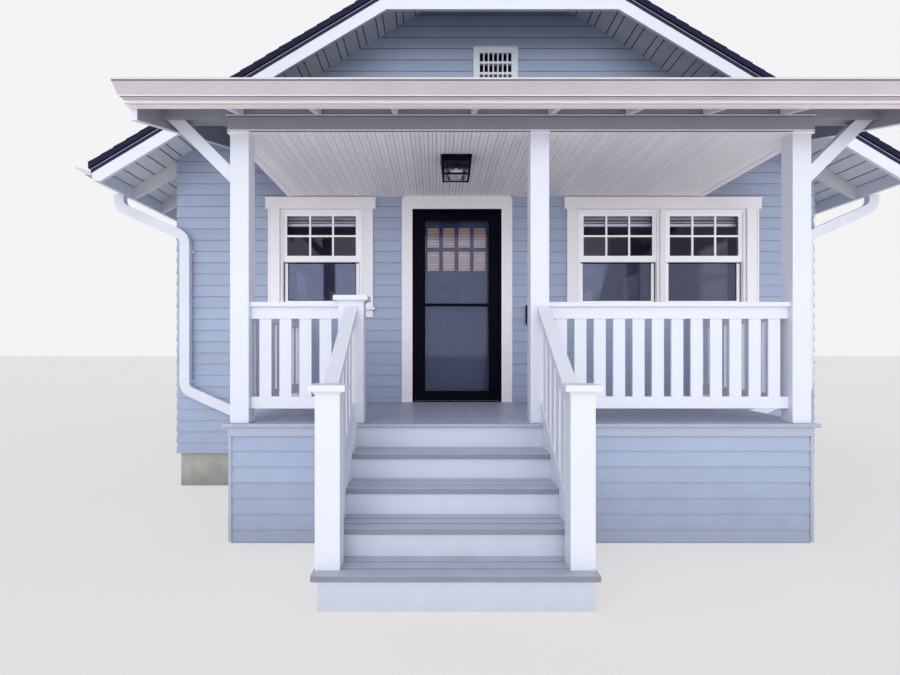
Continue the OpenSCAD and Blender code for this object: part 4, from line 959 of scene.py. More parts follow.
bargeBack = overhang - roofSizes["bargeT"] - clear
clipBack = clipHalf - roofSizes["bargeT"] - clear
for label, slope in (("Right", rightSlope), ("Left", leftSlope)):
    spans = [(frontY - bargeBack, frontY - clear), (rearY + clear, rearY + bargeBack)]
    laySoffit("gableBoards" + label, slope, spans, hipCuts[label.lower()], 41)
    laySoffit("eaveBoards" + label, slope, [(frontY + clear, rearY - clear)], (), 42,
              low=halfW + soffitSettings["eaveStart"])
for label, slope in (("Front", frontClip), ("Rear", rearClip)):
    laySoffit("clipBoards" + label, slope, [(-clipBack, clipBack)], hipCuts[label.lower()], 43,
              low=clipBack - bargeBack, high=clipBack)
print("roof laid")


# Porch: ceiling boards, floor boards, trim under the floor edge, beam trim

ceilingSettings = dict(board=0.0658, joint=0.0036, bead=0.0022, thick=0.003, start=0.004, border=0.176,
                       edge=0.062, edgeDrop=0.008, borderDrop=0.004, borderGap=0.002, rearBorder=0.016,
                       tone=0.5)


def layCeiling(s):
    # narrow boards with an open joint and a beaded groove by turns, and plain boards round them
    lo, hi = boxOf("porch_ceiling")
    back, up = hi.y - sunk, lo.z + sunk
    bm = startMesh()
    dice = random.Random(51)
    inner = hi.x - s["border"]
    count = 2 * round(2 * inner / s["board"])
    step = 2 * inner / count
    for i in range(count):
        x = -inner + i * step
        left, right = (s["bead"], s["joint"]) if i % 2 else (s["joint"], s["bead"])
        tone = tone if i % 2 else dice.uniform(-s["tone"], s["tone"])
        addBlock(bm, (x + left / 2, lo.y + s["start"], lo.z - s["thick"]), (x + step - right / 2, back, up),
                 tone)
    split = hi.x - s["edge"]
    for side in (-1, 1):
        for near, far, drop in ((inner, split - s["borderGap"], s["borderDrop"]),
                                (split, hi.x + clear, s["edgeDrop"])):
            addBlock(bm, (side * near, lo.y - clear, lo.z - drop), (side * far, back, up), 0.2)
    addBlock(bm, (-inner, hi.y - s["rearBorder"], lo.z - s["borderDrop"]), (inner, back, up), 0.2)
    finishPiece("porchCeilingBoards", bm, "ceilingPaint")


layCeiling(ceilingSettings)

floorSettings = dict(board=0.083, joint=0.0012, nose=0.010, core=0.004, coreSide=0.002, coreFront=0.006,
                     tone=0.5)


def layPorchFloor(s):
    # tongued boards with a rounded nosing, standing for the plain slab
    lo, hi = boxOf("porch_floor")
    bm = startMesh()
    dice = random.Random(52)
    count = round((hi.x - lo.x) / s["board"])
    step = (hi.x - lo.x) / count
    for i in range(count):
        x = lo.x + i * step
        made = addBlock(bm, (x + s["joint"] / 2, lo.y, lo.z), (x + step - s["joint"] / 2, hi.y, hi.z),
                        dice.uniform(-s["tone"], s["tone"]))
        front = {e for v in made for e in v.link_edges if all(w.co.y < lo.y + clear for w in e.verts)}
        nose = [e for e in front if abs(e.verts[0].co.x - e.verts[1].co.x) > step / 2]
        roundEdges(bm, s["nose"], 3, nose)
    addBlock(bm, (lo.x + s["coreSide"], lo.y + s["coreFront"], lo.z + s["core"]),
             (hi.x - s["coreSide"], hi.y, hi.z - s["core"]), -0.5)
    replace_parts(finishPiece("porchFloorBoards", bm, "porchBoardPaint"), "porch_floor")


layPorchFloor(floorSettings)

skirtTrimSettings = dict(height=0.064, proud=0.020, corner=0.024, cornerProud=0.0165, cornerLow=0.012,
                         wallClear=0.0135, ease=0.0015)


def makeSkirtTrim(s):
    # a board under the floor's edge, cut at the stair, and a strip at each corner
    lo, hi = boxOf("porch_skirt_front")
    stair = boxOf("stair_stringers")
    out, corner = s["proud"], s["cornerProud"]
    top, low = hi.z - clear, hi.z - s["height"]
    bm = startMesh()
    addBlock(bm, (lo.x - out, lo.y - out, low), (stair[0].x - clear, lo.y + sunk, top), 0.3)
    addBlock(bm, (stair[1].x + clear, lo.y - out, low), (hi.x + out, lo.y + sunk, top), 0.3)
    for side in (-1, 1):
        addBlock(bm, (side * (hi.x - sunk), lo.y + sunk, low),
                 (side * (hi.x + out), frontY - s["wallClear"], top), 0.3)
        addBlock(bm, (side * (hi.x - s["corner"] + corner), lo.y - corner, s["cornerLow"]),
                 (side * (hi.x + corner), lo.y - corner + s["corner"], low), 0.2)
    roundEdges(bm, s["ease"], 1)
    finishPiece("skirtTrim", bm, "sidingTrimPaint")


makeSkirtTrim(skirtTrimSettings)

beamSettings = dict(strip=(3.184, 3.191), stripOut=0.006, endOver=0.008, endBack=0.010,
                    groove=(3.176, 3.1805), grooveOut=0.0012, boardLow=3.160, boardOut=0.0018,
                    edge=(3.0715, 3.0808), edgeOut=0.0025, headOut=0.0035, postHalf=0.070,
                    posts=(-2.100, 0.143, 2.100), back=0.002, liningIn=0.046, liningT=0.002, liningLow=0.175,
                    liningStart=0.03)


def makeBeamTrim(s):
    # a fine white strip over the beam with a painted shadow line below it, white edging under it, and grey
    # sheets inside the side boards, a painted shade of their inner faces
    lo, hi = boxOf("porch_ceiling")
    y, end, back = lo.y, hi.x, lo.y + s["back"]
    bm = startMesh()
    addBlock(bm, (-end, y - s["stripOut"], s["strip"][0]), (end, back, s["strip"][1]))
    for side in (-1, 1):
        addBlock(bm, (side * end, y - s["stripOut"], s["strip"][0]),
                 (side * (end + s["endOver"]), y + s["endBack"], s["strip"][1]))
    addBlock(bm, (-end, y - s["edgeOut"], s["edge"][0]), (end, back, s["edge"][1]))
    for x in s["posts"]:
        addBlock(bm, (x - s["postHalf"], y - s["headOut"], lo.z - clear),
                 (x + s["postHalf"], back, s["edge"][1] + clear))
    finishPiece("beamStrip", bm, "trimPaint")
    bm = startMesh()
    # a dark strip that stands for the shadow line along the beam: painted shade
    addBlock(bm, (-end, y - s["grooveOut"], s["groove"][0]), (end, y + sunk, s["groove"][1]))
    finishPiece("beamGroove", bm, "deckPaint")
    bm = startMesh()
    addBlock(bm, (-end, y - s["boardOut"], s["boardLow"]), (end, y + sunk, s["groove"][0]), 0.1)
    sides = boxOf("porch_barges")
    face = sides[1].x - s["liningIn"]
    # grey sheets inside the side boards: painted shade
    for side in (-1, 1):
        addBlock(bm, (side * (face - s["liningT"]), s["liningStart"], -s["liningLow"]),
                 (side * (face + clear), frontY - sides[0].y - sunk, -sunk), -0.2, porchSlope)
    finishPiece("beamLining", bm, "beamPaint")


makeBeamTrim(beamSettings)

tailSettings = dict(first=-2.08, spacing=0.575, count=8, half=0.019, depth=0.093, ease=0.002)


def makePorchTails(s):
    # tails of the porch rafters, from the beam to the board behind the gutter
    bm = startMesh()
    near = frontY - boxOf("porch_ceiling")[0].y + clear
    far = frontY - boxOf("porch_fascia")[1].y - clear
    for i in range(s["count"]):
        x = s["first"] + i * s["spacing"]
        addBlock(bm, (x - s["half"], near, -s["depth"]), (x + s["half"], far, -clear), 0.2, porchSlope)
    roundEdges(bm, s["ease"], 1)
    finishPiece("porchTails", bm, "trimPaint")


makePorchTails(tailSettings)
print("porch boarded")


# Windows: bars, seals, blinds, outer bands of the casings

windowSettings = dict(glassHalf=0.365, upper=(2.4405, 2.862), lower=(1.965, 2.3745), upperY=0.037,
                      lowerY=0.071, glassT=0.005, bar=0.020, barProud=0.008, barGap=0.0004, upperSpacer=0.006,
                      lowerSpacer=0.008, barSpacer=0.003, spacerProud=0.0012, skin=0.0003, sashHalf=0.405,
                      sashFace=0.056, sashLow=1.913, gap=0.010)
blindSettings = dict(half=0.385, y=0.135, slat=0.046, spacing=0.0345, thick=0.003, top=2.874, shortCount=2,
                     longLow=1.985, shortTilt=36, longTilt=62, tiltPlay=3, tone=0.3, railDrop=0.9,
                     railHeight=0.023, railHalf=0.022, headHalf=0.024, headHeight=0.028, cordAt=0.24,
                     cord=0.001)


def addBars(bm, s, place):
    # two upright bars and a level one, on both faces of the upper pane
    low, high = s["upper"]
    third, mid, half = s["glassHalf"] / 3, (low + high) / 2, s["bar"] / 2
    for face, way in ((s["upperY"], -1), (s["upperY"] + s["glassT"], 1)):
        near, far = face + way * s["barGap"], face + way * s["barProud"]
        for x in (-third, third):
            addBlock(bm, (x - half, near, low), (x + half, far, high), 0.2, place)
        addBlock(bm, (-s["glassHalf"], near, mid - half), (s["glassHalf"], far - way * clear, mid + half),
                 0.2, place)


def addSeals(bm, s, place):
    # dark spacers round the panes and under the bars, and painted shade in the gaps round the lower sash
    half, skin, proud = s["glassHalf"], s["skin"], s["spacerProud"]
    low, high = s["upper"]
    sashTop = s["lower"][1]
    for y, (z0, z1), width in ((s["upperY"], s["upper"], s["upperSpacer"]),
                               (s["lowerY"], s["lower"], s["lowerSpacer"])):
        addFrame(bm, (-half, y - proud, z0), (half, y - skin, z1), width, 0, place)
    y0, y1 = s["upperY"] - proud + skin, s["upperY"] - skin
    wide, mid = s["bar"] / 2 + s["barSpacer"], (low + high) / 2
    for x in (-half / 3, half / 3):
        addBlock(bm, (x - wide, y0, low), (x + wide, y1, high), 0, place)
    addBlock(bm, (-half, y0 + skin, mid - wide), (half, y1, mid + wide), 0, place)
    # weatherstrip at the sash's sides, darkened as painted shade; along its top, a painted shadow of the
    # upper sash
    edge, gap, face = s["sashHalf"], s["gap"], s["sashFace"]
    for x0, x1, z0 in ((-edge, gap - edge, s["sashLow"]), (edge - gap, edge, s["sashLow"]),
                       (gap - edge, edge - gap, sashTop - gap)):
        addBlock(bm, (x0, face - proud, z0), (x1, face + skin, sashTop), 0, place)


def addBlind(bm, s, place, short, dice):
    # slats on cords: a few at the head of the front windows, the whole height elsewhere
    count = s["shortCount"] if short else int((s["top"] - s["longLow"]) / s["spacing"])
    tilt = s["shortTilt"] if short else s["longTilt"]
    half, y, top = s["half"], s["y"], s["top"]
    for i in range(count):
        play = dice.uniform(-s["tiltPlay"], s["tiltPlay"])
        turn = turned((0, y, top - (i + 0.5) * s["spacing"]), tilt + play, "X")
        addBlock(bm, (-half, -s["slat"] / 2, -s["thick"] / 2), (half, s["slat"] / 2, s["thick"] / 2),
                 dice.uniform(-s["tone"], s["tone"]), place @ turn)
    low = top - (count + s["railDrop"]) * s["spacing"]
    addBlock(bm, (-half, y - s["railHalf"], low), (half, y + s["railHalf"], low + s["railHeight"]), 0.3,
             place)
    addBlock(bm, (-half, y - s["headHalf"], top), (half, y + s["headHalf"], top + s["headHeight"]), 0, place)
    for x in (-s["cordAt"], s["cordAt"]):
        addBlock(bm, (x - s["cord"], y - s["cord"], low), (x + s["cord"], y + s["cord"], top), 0, place)


casingSettings = dict(width=0.122, casingT=0.028, band=0.018, bandProud=0.006, inner=0.012, innerProud=0.003,
                      head=0.123, over=0.028, thicker=0.006, capT=0.010, capProud=0.008, capBack=0.014,
                      ease=0.001)


def addCasingBands(bm, s, place, half):
    # raised bands up the outer edges, a bead at the opening, and a drip cap over the head board
    outer, face = half + s["width"], -s["casingT"]
    low, head = houseSizes["winZ"], houseSizes["headZ"]
    for side in (-1, 1):
        addBlock(bm, (side * outer, face - s["bandProud"], low),
                 (side * (outer - s["band"]), face + sunk, head), 0.3, place)
        addBlock(bm, (side * half, face - s["innerProud"], low),
                 (side * (half + s["inner"]), face + sunk, head), 0.3, place)
    face -= s["thicker"]
    addBlock(bm, (-half, face - s["innerProud"], head), (half, face + sunk, head + s["inner"]), 0.3, place)
    wide, top = outer + s["over"] + s["capProud"], head + s["head"]
    addBlock(bm, (-wide, face - s["capProud"], top - s["capT"]), (wide, -s["capBack"], top + sunk), 0.3,
             place)


def dressWindows(s):
    front, half = s["frontWindows"], s["winHalf"]
    places = [(frontPlace, x, True) for x in front]
    places += [(side, x, False) for side in (leftPlace, rightPlace) for x in s["sideWindows"]]
    places += [(rearPlace, x, False) for x in s["rearWindows"]]
    barBm, sealShadeBm, blindBm, bandBm = (startMesh() for k in range(4))
    dice = random.Random(61)
    for wall, x, short in places:
        place = wall @ Matrix.Translation((x, 0, 0))
        addBars(barBm, windowSettings, place)
        addSeals(sealShadeBm, windowSettings, place)
        addBlind(blindBm, blindSettings, place, short, dice)
    pairMid = (front[1] + front[2]) / 2
    cased = [(frontPlace, front[0], half), (frontPlace, pairMid, pairMid - front[1] + half)]
    for wall, x, wide in cased + [(wall, x, half) for wall, x, short in places[3:]]:
        addCasingBands(bandBm, casingSettings, wall @ Matrix.Translation((x, 0, 0)), wide)
    roundEdges(bandBm, casingSettings["ease"], 1)
    finishPiece("windowBars", barBm, "framePaint")
    finishPiece("windowSeals", sealShadeBm, "sealRubber")
    finishPiece("windowBlinds", blindBm, "slatPaint")
    finishPiece("casingBands", bandBm, "casingPaint")


dressWindows(houseSizes)
print("windows dressed")


# Doors

doorCasingSettings = dict(casing=0.112, band=0.018, bandProud=0.006, inner=0.026, innerProud=0.004,
                          ease=0.001)


def makeDoorCasingBands(s):
    # raised bands up the outer edges and over the head, and a bead at the opening
    lo, hi = boxOf("door_casing")
    head, back = houseSizes["headZ"], lo.y + sunk
    outFace, inFace = lo.y - s["bandProud"], lo.y - s["innerProud"]
    bm = startMesh()
    for edge, way in ((lo.x, 1), (hi.x, -1)):
        addBlock(bm, (edge, outFace, lo.z), (edge + way * s["band"], back, hi.z), 0.3)
        jamb = edge + way * s["casing"]
        addBlock(bm, (jamb, inFace, lo.z), (jamb - way * s["inner"], back, head), 0.4)
    addBlock(bm, (lo.x, outFace, hi.z - s["band"]), (hi.x, back, hi.z - clear), 0.3)
    addBlock(bm, (lo.x + s["casing"] - s["inner"], inFace, head),
             (hi.x - s["casing"] + s["inner"], back, head + s["inner"]), 0.4)
    roundEdges(bm, s["ease"], 1)
    finishPiece("doorCasingBands", bm, "casingPaint")


makeDoorCasingBands(doorCasingSettings)

stormSettings = dict(glass=(-0.7465, -0.0695), lower=(1.007, 1.905), upper=(1.927, 2.808), bead=0.003,
                     beadOut=0.0025, beadIn=0.0175, sweepEnd=0.004, sweepOut=0.003, sweepIn=0.004,
                     sweepDrop=0.003, sweepHigh=0.028, ease=0.0012, screwSide=0.03, screwLow=0.05,
                     screwHigh=0.04, screwMid=1.915, screw=0.0045, screwOut=0.0015, screwIn=0.002)


def makeStormDoorDetails(s):
    # beads round the panes, a sweep at the foot and screws in the frame of the outer door
    lo, hi = boxOf("storm_door")
    bm = startMesh()
    for low, high in (s["lower"], s["upper"]):
        addFrame(bm, (s["glass"][0], lo.y - s["beadOut"], low), (s["glass"][1], lo.y + s["beadIn"], high),
                 s["bead"])
    addBlock(bm, (lo.x + s["sweepEnd"], lo.y - s["sweepOut"], lo.z - s["sweepDrop"]),
             (hi.x - s["sweepEnd"], lo.y + s["sweepIn"], lo.z + s["sweepHigh"]))
    roundEdges(bm, s["ease"])
    for x in (lo.x + s["screwSide"], hi.x - s["screwSide"]):
        for z in (lo.z + s["screwLow"], s["screwMid"], hi.z - s["screwHigh"]):
            addRod(bm, (x, lo.y - s["screwOut"], z), (x, lo.y + s["screwIn"], z), s["screw"], segments=10)
    finishPiece("stormDoorBeads", bm, "blackEnamel", "storm_door")


makeStormDoorDetails(stormSettings)

frontDoorSettings = dict(mid=-0.408, lightW=0.140, lightH=0.225, lightBar=0.026, lightsTop=2.764, bead=0.006,
                         beadOut=0.004, beadIn=0.006, slatCount=7, slatY=0.034, slatTilt=-74, tiltPlay=3,
                         slatPart=0.41, slatT=0.001, tone=0.5, plate=(0.0415, 0.0435), plateEdge=0.0003,
                         panelLow=0.137, panelDrop=0.138, panelNear=0.028, panelFar=0.385,
                         mouldings=((0.0, 0.016, 0.006), (0.016, 0.010, 0.003)), field=0.06,
                         fieldProud=0.0035, ease=0.0015)


def makeFrontDoorDetails(s):
    # beads round the lights, moulded panels below them, slatted tan blinds behind the glass and dark plates
    # behind them, a painted shade
    lo, hi = boxOf("front_door")
    half = s["lightW"] / 2
    slatHalf = half - clear
    step = s["lightH"] / s["slatCount"]
    deep = step * s["slatPart"]
    beads, slats = startMesh(), startMesh()
    shadePlates = []
    dice = random.Random(71)
    for x in (s["mid"] + k * (s["lightW"] + s["lightBar"]) for k in (-1.5, -0.5, 0.5, 1.5)):
        for high in (s["lightsTop"], s["lightsTop"] - s["lightH"] - s["lightBar"]):
            low = high - s["lightH"]
            addFrame(beads, (x - half, lo.y - s["beadOut"], low), (x + half, lo.y + s["beadIn"], high),
                     s["bead"], 0.3)
            for i in range(s["slatCount"]):
                play = dice.uniform(-s["tiltPlay"], s["tiltPlay"])
                turn = turned((x, lo.y + s["slatY"], low + (i + 0.5) * step), s["slatTilt"] + play, "X")
                addBlock(slats, (-slatHalf, -deep, -s["slatT"]), (slatHalf, deep, s["slatT"]),
                         dice.uniform(-s["tone"], s["tone"]), turn)
            # a dark plate behind each light's slats: painted shade in the gaps between them
            near, far = s["plate"]
            edge = s["plateEdge"]
            shadePlates.append(((x - half + edge, lo.y + near, low + edge),
                           (x + half - edge, lo.y + far, high - edge)))
    low = lo.z + s["panelLow"]
    high = s["lightsTop"] - 2 * s["lightH"] - s["lightBar"] - s["panelDrop"]
    for side in (-1, 1):
        left, right = sorted((s["mid"] + side * s["panelNear"], s["mid"] + side * s["panelFar"]))
        for face, outward in ((lo.y, -1), (hi.y, 1)):
            back = face - outward * clear
            for inset, width, rise in s["mouldings"]:
                y0, y1 = sorted((back, face + outward * rise))
                addFrame(beads, (left + inset, y0, low + inset), (right - inset, y1, high - inset), width,
                         0.4)
            addBlock(beads, (left + s["field"], back, low + s["field"]),
                     (right - s["field"], face + outward * s["fieldProud"], high - s["field"]), 0.2)
    roundEdges(beads, s["ease"])
    for a, b in shadePlates:  # after the rounding, because they are thinner than it
        addBlock(beads, a, b, -0.5)
    finishPiece("frontDoorMouldings", beads, "navyPaint", "front_door")
    finishPiece("frontDoorBlinds", slats, "blindCloth", "front_door")


makeFrontDoorDetails(frontDoorSettings)

sillSettings = dict(end=0.022, out=0.045, low=0.0003, high=0.010, ease=0.003)


def makeDoorSill(s):
    lo, hi = boxOf("door_frame")
    bm = startMesh()
    addBlock(bm, (lo.x + s["end"], frontY - s["out"], lo.z + s["low"]),
             (hi.x - s["end"], frontY - clear, lo.z + s["high"]))
    roundEdges(bm, s["ease"])
    finishPiece("doorSill", bm, "blackEnamel")


makeDoorSill(sillSettings)
print("doors dressed")


# Small pieces: lantern, letter box, vents, gutters, newels, treads

lanternSettings = dict(rim=(0.012, 0.004), rimProud=0.002, footIn=0.02, footDrop=0.006, footUp=0.002,
                       foot=(0.004, 0.006), holder=(0.075, 0.05), holderWide=(0.024, 0.030), footHalf=0.079,
                       ring=0.012, top=0.054, bar=0.016, strip=0.036, stripBack=0.0055)


def makeLanternDetails(s):
    # a band under its top, four feet, the bulb's holder, and broad corner strips on the four leaning sides
    lo, hi = boxOf("lantern")
    mid, half = (lo + hi) / 2, (hi.x - lo.x) / 2
    bm = startMesh()
    addBand(bm, (lo.x, lo.y, hi.z - s["rim"][0]), (hi.x, hi.y, hi.z - s["rim"][1]), s["rimProud"])
    for sx in (-1, 1):
        for sy in (-1, 1):
            x, y = mid.x + sx * (half - s["footIn"]), mid.y + sy * (half - s["footIn"])
            addRod(bm, (x, y, lo.z - s["footDrop"]), (x, y, lo.z + s["footUp"]), *s["foot"])
    low, high = s["holder"]
    addRod(bm, (mid.x, mid.y, hi.z - low), (mid.x, mid.y, hi.z - high), *s["holderWide"], 24)
    for turn in range(4):
        place = turned((mid.x, mid.y, 0), turn * 90)
        for side in (-1, 1):
            made = addBlock(bm, (-1, -1, lo.z + s["ring"]), (1, 1, hi.z - s["top"]))
            for v in made:
                wide = s["footHalf"] + (half - s["footHalf"]) * (v.co.z - lo.z) / (hi.z - lo.z)
                v.co.x = side * (wide - (s["bar"] - sunk if v.co.x > 0 else s["strip"]))
                v.co.y = -wide + (sunk if v.co.y < 0 else s["stripBack"])
            bmesh.ops.transform(bm, matrix=place, verts=made)
    finishPiece("lanternDetails", bm, "blackEnamel")


makeLanternDetails(lanternSettings)

boxSettings = dict(lip=(0.062, 0.054), lipSide=0.003, lipOut=0.004, lipIn=0.012, hingeBack=0.040,
                   hingeEnd=0.004, hinge=0.004, hookIn=0.05, hookBack=0.03, hookDrop=0.03, hookTip=0.036,
                   hookOut=0.004, hookUp=0.002, hook=0.003, labelIn=0.02, labelTop=0.08, labelProud=0.0025,
                   label=0.004)


def makeLetterBoxDetails(s):
    # the lid's lip and hinge, two paper hooks below and a plain frame on the front
    lo, hi = boxOf("letter_box")
    bm = startMesh()
    addBlock(bm, (lo.x - s["lipSide"], lo.y - s["lipOut"], hi.z - s["lip"][0]),
             (hi.x + s["lipSide"], lo.y + s["lipIn"], hi.z - s["lip"][1]))
    y, z = hi.y - s["hingeBack"], hi.z + sunk
    addRod(bm, (lo.x + s["hingeEnd"], y, z), (hi.x - s["hingeEnd"], y, z), s["hinge"])
    y, z = lo.y + s["hookBack"], lo.z - s["hookDrop"]
    for x in (lo.x + s["hookIn"], hi.x - s["hookIn"]):
        addRod(bm, (x, y, z), (x, y, lo.z + s["hookUp"]), s["hook"])
        addRod(bm, (x, y, z), (x, lo.y + s["hookOut"], lo.z - s["hookTip"]), s["hook"])
    addFrame(bm, (lo.x + s["labelIn"], lo.y - s["labelProud"], lo.z + s["labelIn"]),
             (hi.x - s["labelIn"], lo.y + sunk, hi.z - s["labelTop"]), s["label"])
    finishPiece("letterBoxDetails", bm, "blackEnamel")


makeLetterBoxDetails(boxSettings)

ventSettings = dict(rims=((0.0, 0.030, 0.016), (0.052, 0.0275, 0.014)), back=0.0235, screenIn=0.06,
                    screen=(0.026, 0.028), ease=0.001)


def makeVentDetails(s):
    # two raised bands round each gable vent and a black screen behind its slots, also a painted shade of the
    # space behind
    half, low, high = houseSizes["vent"]
    rimBm, screenBm = startMesh(), startMesh()
    inset = s["screenIn"]
    for place in (frontPlace, rearPlace):
        for edge, out, width in s["rims"]:
            addFrame(rimBm, (edge - half, -out, low + edge), (half - edge, -s["back"], high - edge), width,
                     0.2, place)
        addBlock(screenBm, (inset - half, s["screen"][0], low + inset),
                 (half - inset, s["screen"][1], high - inset), -0.4, place)
    roundEdges(rimBm, s["ease"], 1)
    finishPiece("ventBands", rimBm, "trimPaint")
    finishPiece("ventScreens", screenBm, "blackEnamel")


makeVentDetails(ventSettings)

# each part: how far in from the gutter's lip, and how far below its top
gutterSettings = dict(spacing=0.6, strapHalf=0.012, endGap=0.001, ease=0.0015,
                      strap=((0.002, 0.142), (0.005, 0.0035)), hem=((0.002, 0.010), (0.003, 0.0005)),
                      shadow=((0.0025, 0.018), (0.0165, 0.012)), groove=((0.092, 0.105), (0.0764, 0.075)),
                      joint=((0.1568, 0.1578), (0.1025, 0.0995)), strip=((0.152, 0.1578), (0.0995, 0.0763)),
                      bead=((0.085, 0.091), (0.0785, 0.073)))


def addGutterPart(bm, part, lo, hi, lip, start, end):
    # lip: -1 or 1 for the eaves on the left and right, 0 for the porch
    (near, far), (low, high) = part
    if lip:
        addBlock(bm, (lip * (hi.x - near), start, hi.z - low), (lip * (hi.x - far), end, hi.z - high))
    else:
        addBlock(bm, (start, lo.y + near, hi.z - low), (end, lo.y + far, hi.z - high))


def makeGutterDetails(s):
    # hangers and hems; painted shade lines under the lip, behind the front edge and at the board; two bright
    # beads
    strapBm, seamShadeBm, beadBm = startMesh(), startMesh(), startMesh()
    for name, lips in (("eave_gutters", (-1, 1)), ("porch_gutter", (0,))):
        lo, hi = boxOf(name)
        first, last = (lo.y, hi.y) if lips[0] else (lo.x, hi.x)
        step = (last - first) / round((last - first) / s["spacing"])
        straps = [first + (i + 0.5) * step for i in range(round((last - first) / step))]
        for lip in lips:
            for mid in straps:
                addGutterPart(strapBm, s["strap"], lo, hi, lip, mid - s["strapHalf"], mid + s["strapHalf"])
            addGutterPart(strapBm, s["hem"], lo, hi, lip, first, last)
            for part, bm in (("shadow", seamShadeBm), ("groove", seamShadeBm), ("joint", seamShadeBm), ("strip", beadBm),
                             ("bead", beadBm)):
                addGutterPart(bm, s[part], lo, hi, lip, first + s["endGap"], last - s["endGap"])
    roundEdges(beadBm, s["ease"])
    finishPiece("gutterStraps", strapBm, "gutterEnamel")
    finishPiece("gutterSeams", seamShadeBm, "seamPaint")
    finishPiece("gutterBeads", beadBm, "fasciaPaint")


makeGutterDetails(gutterSettings)

# newels: x of the middle, how far out from the wall, width, depth, height of the head
newelSettings = dict(heads=((-1.242, 2.773, 0.140, 0.140, 1.209), (0.188, 2.773, 0.140, 0.140, 1.209),
                            (-1.268, 1.732, 0.190, 0.140, 1.812)), drop=0.014, proud=0.010, ease=0.002)


def makeNewelTrim(s):
    # a small step under each newel cap
    bm = startMesh()
    for x, out, width, depth, z in s["heads"]:
        front = frontY - out
        addBand(bm, (x - width / 2, front, z - s["drop"]), (x + width / 2, front + depth, z + clear),
                s["proud"], 0.2)
    roundEdges(bm, s["ease"], 1)
    finishPiece("newelSteps", bm, "trimPaint")


makeNewelTrim(newelSettings)

treadSettings = dict(count=4, firstTop=0.206, rise=0.172, noseOut=2.843, run=0.2675, wideHalf=0.795,
                     half=0.684, mid=-0.527, board=0.1002, gap=0.004, gapW=0.008, low=0.012, high=0.0012)


def makeTreadJoints(s):
    # painted shadow in the gaps between the boards of each tread
    bm = startMesh()
    for k in range(s["count"]):
        top = s["firstTop"] + k * s["rise"]
        nose = frontY - s["noseOut"] + k * s["run"]
        half = s["half"] if k else s["wideHalf"]
        for i in (1, 2):
            y = nose + i * s["board"] + (i - 0.5) * s["gap"]
            addBlock(bm, (s["mid"] - half, y - s["gapW"] / 2, top - s["low"]),
                     (s["mid"] + half, y + s["gapW"] / 2, top - s["high"]))
    finishPiece("treadJoints", bm, "seamPaint")


makeTreadJoints(treadSettings)

# how much the arrises of the CAD nodes are eased, in millimetres
easeSettings = {1.5: "window_frames gable_vents",
                2: "stair_risers window_casings door_casing storm_door storm_frame_bars front_door",
                3: "newels stair_rails porch_railings stair_stringers barge_boards eave_fascias rafter_tails "
                   "porch_fascia porch_barges porch_beam",
                4: "porch_posts knee_braces letter_box", 6: "stair_treads foundation"}
easeHow = dict(join=0.00005, segments=2, sharperThan=30)


def easeEdges(piece, width, s):
    weld = piece.modifiers.new("joinCorners", "WELD")
    weld.merge_threshold = s["join"]
    bevel = piece.modifiers.new("easedEdges", "BEVEL")
    bevel.width = width
    bevel.segments = s["segments"]
    bevel.limit_method = "ANGLE"
    bevel.angle_limit = math.radians(s["sharperThan"])


for width, group in easeSettings.items():
    for name in group.split():
        easeEdges(nodes[name], width / 1000, easeHow)
print("small pieces made")


# The stage: pale floor and backdrop, soft light

stageSettings = dict(floorColour=(0.80, 0.775, 0.76, 1), floorSize=120, floorSeen=0.86, shadowPart=0.55,
                     bounce=2.35, bouncePart=0.5, bounceNear=0.18, bounceReach=2.6, sky=(0.94, 0.965, 1.0, 1),
                     skyLow=1.50, skyHigh=0.42, bandLow=0.35, bandHigh=0.6, skySeen=(0.9, 0.9, 0.91, 1),
                     sun=dict(level=0.52, angle=35, way=(0.3, 0.5, -0.8), colour=(1.0, 0.985, 0.96)),
                     fill=dict(level=0.88, angle=40, way=(0.05, 1.0, -0.2), colour=(0.95, 0.975, 1.0),
                               mirrored=False))


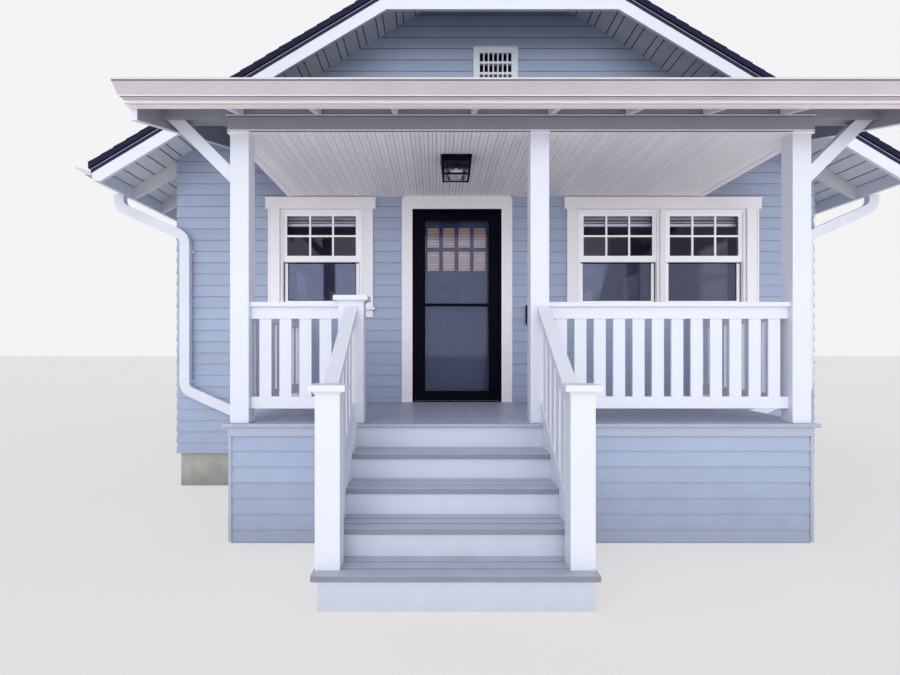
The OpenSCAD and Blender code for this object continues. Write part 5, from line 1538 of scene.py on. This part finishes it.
def makeFloorMaterial(s):
    # pale where it is seen, with the shadow kept; diffuse light off it is that of bright paving
    material = bpy.data.materials.new("floorPale")
    material.use_nodes = True
    tree = material.node_tree
    tree.nodes.clear()
    out = tree.nodes.new("ShaderNodeOutputMaterial")
    plain = tree.nodes.new("ShaderNodeBsdfDiffuse")
    plain.inputs["Color"].default_value = s["floorColour"]
    path = tree.nodes.new("ShaderNodeLightPath").outputs
    shader = plain.outputs["BSDF"]
    # planting and soil beside the walls throw back less light than open ground
    apart = splitNode(tree, tree.nodes.new("ShaderNodeTexCoord").outputs["Object"])
    beside = mathNode(tree, "MAXIMUM", *(
        mathNode(tree, "SUBTRACT", mathNode(tree, "ABSOLUTE", apart[axis]), half)
        for axis, half in (("X", halfW), ("Y", cadBounds[1][1]))))
    thrown = mathNode(tree, "MULTIPLY", path["Is Diffuse Ray"],
                      rangeNode(tree, beside, 0.0, s["bounceReach"], s["bounceNear"], 1.0))
    for mask, part, level, tint in ((seenRays(tree, path), s["shadowPart"], s["floorSeen"], (1, 1, 1)),
                                    (thrown, s["bouncePart"], s["bounce"], s["floorColour"])):
        glow = tree.nodes.new("ShaderNodeEmission")
        glow.inputs["Color"].default_value = shade(tint, level)
        shader = mixShaders(tree, mathNode(tree, "MULTIPLY", mask, part), shader, glow.outputs["Emission"])
    tree.links.new(shader, out.inputs["Surface"])
    return material


def makeSky(s):
    # brighter toward the horizon, as a sky is, so that the light reaches in under the porch roof
    world = bpy.data.worlds.new("studioSky")
    bpy.context.scene.world = world
    world.use_nodes = True
    tree = world.node_tree
    tree.nodes.clear()
    out = tree.nodes.new("ShaderNodeOutputWorld")
    soft, pale = (tree.nodes.new("ShaderNodeBackground") for k in range(2))
    soft.inputs["Color"].default_value = s["sky"]
    pale.inputs["Color"].default_value = s["skySeen"]
    apart = splitNode(tree, tree.nodes.new("ShaderNodeTexCoord").outputs["Generated"])
    tree.links.new(rangeNode(tree, apart["Z"], s["bandLow"], s["bandHigh"], s["skyLow"], s["skyHigh"]),
                   soft.inputs["Strength"])
    path = tree.nodes.new("ShaderNodeLightPath").outputs
    both = mixShaders(tree, seenRays(tree, path), soft.outputs[0], pale.outputs[0])
    tree.links.new(both, out.inputs["Surface"])


def addSun(name, level, angle, way, colour, mirrored=True):
    data = bpy.data.lights.new(name, "SUN")
    data.energy = level
    data.angle = math.radians(angle)
    data.color = colour
    sun = bpy.data.objects.new(name, data)
    sun.visible_glossy = mirrored  # off where the panes would show the lamp itself
    sun.rotation_euler = Vector(way).to_track_quat("-Z", "Y").to_euler()
    bpy.context.scene.collection.objects.link(sun)


def makeStage(s):
    bm = bmesh.new()
    bmesh.ops.create_grid(bm, x_segments=1, y_segments=1, size=s["floorSize"])
    linkPiece("studioFloor", bm, makeFloorMaterial(s))
    makeSky(s)
    addSun("softSun", **s["sun"])
    addSun("frontFill", **s["fill"])


makeStage(stageSettings)
bpy.context.scene.view_settings.view_transform = "Standard"
print("stage set")
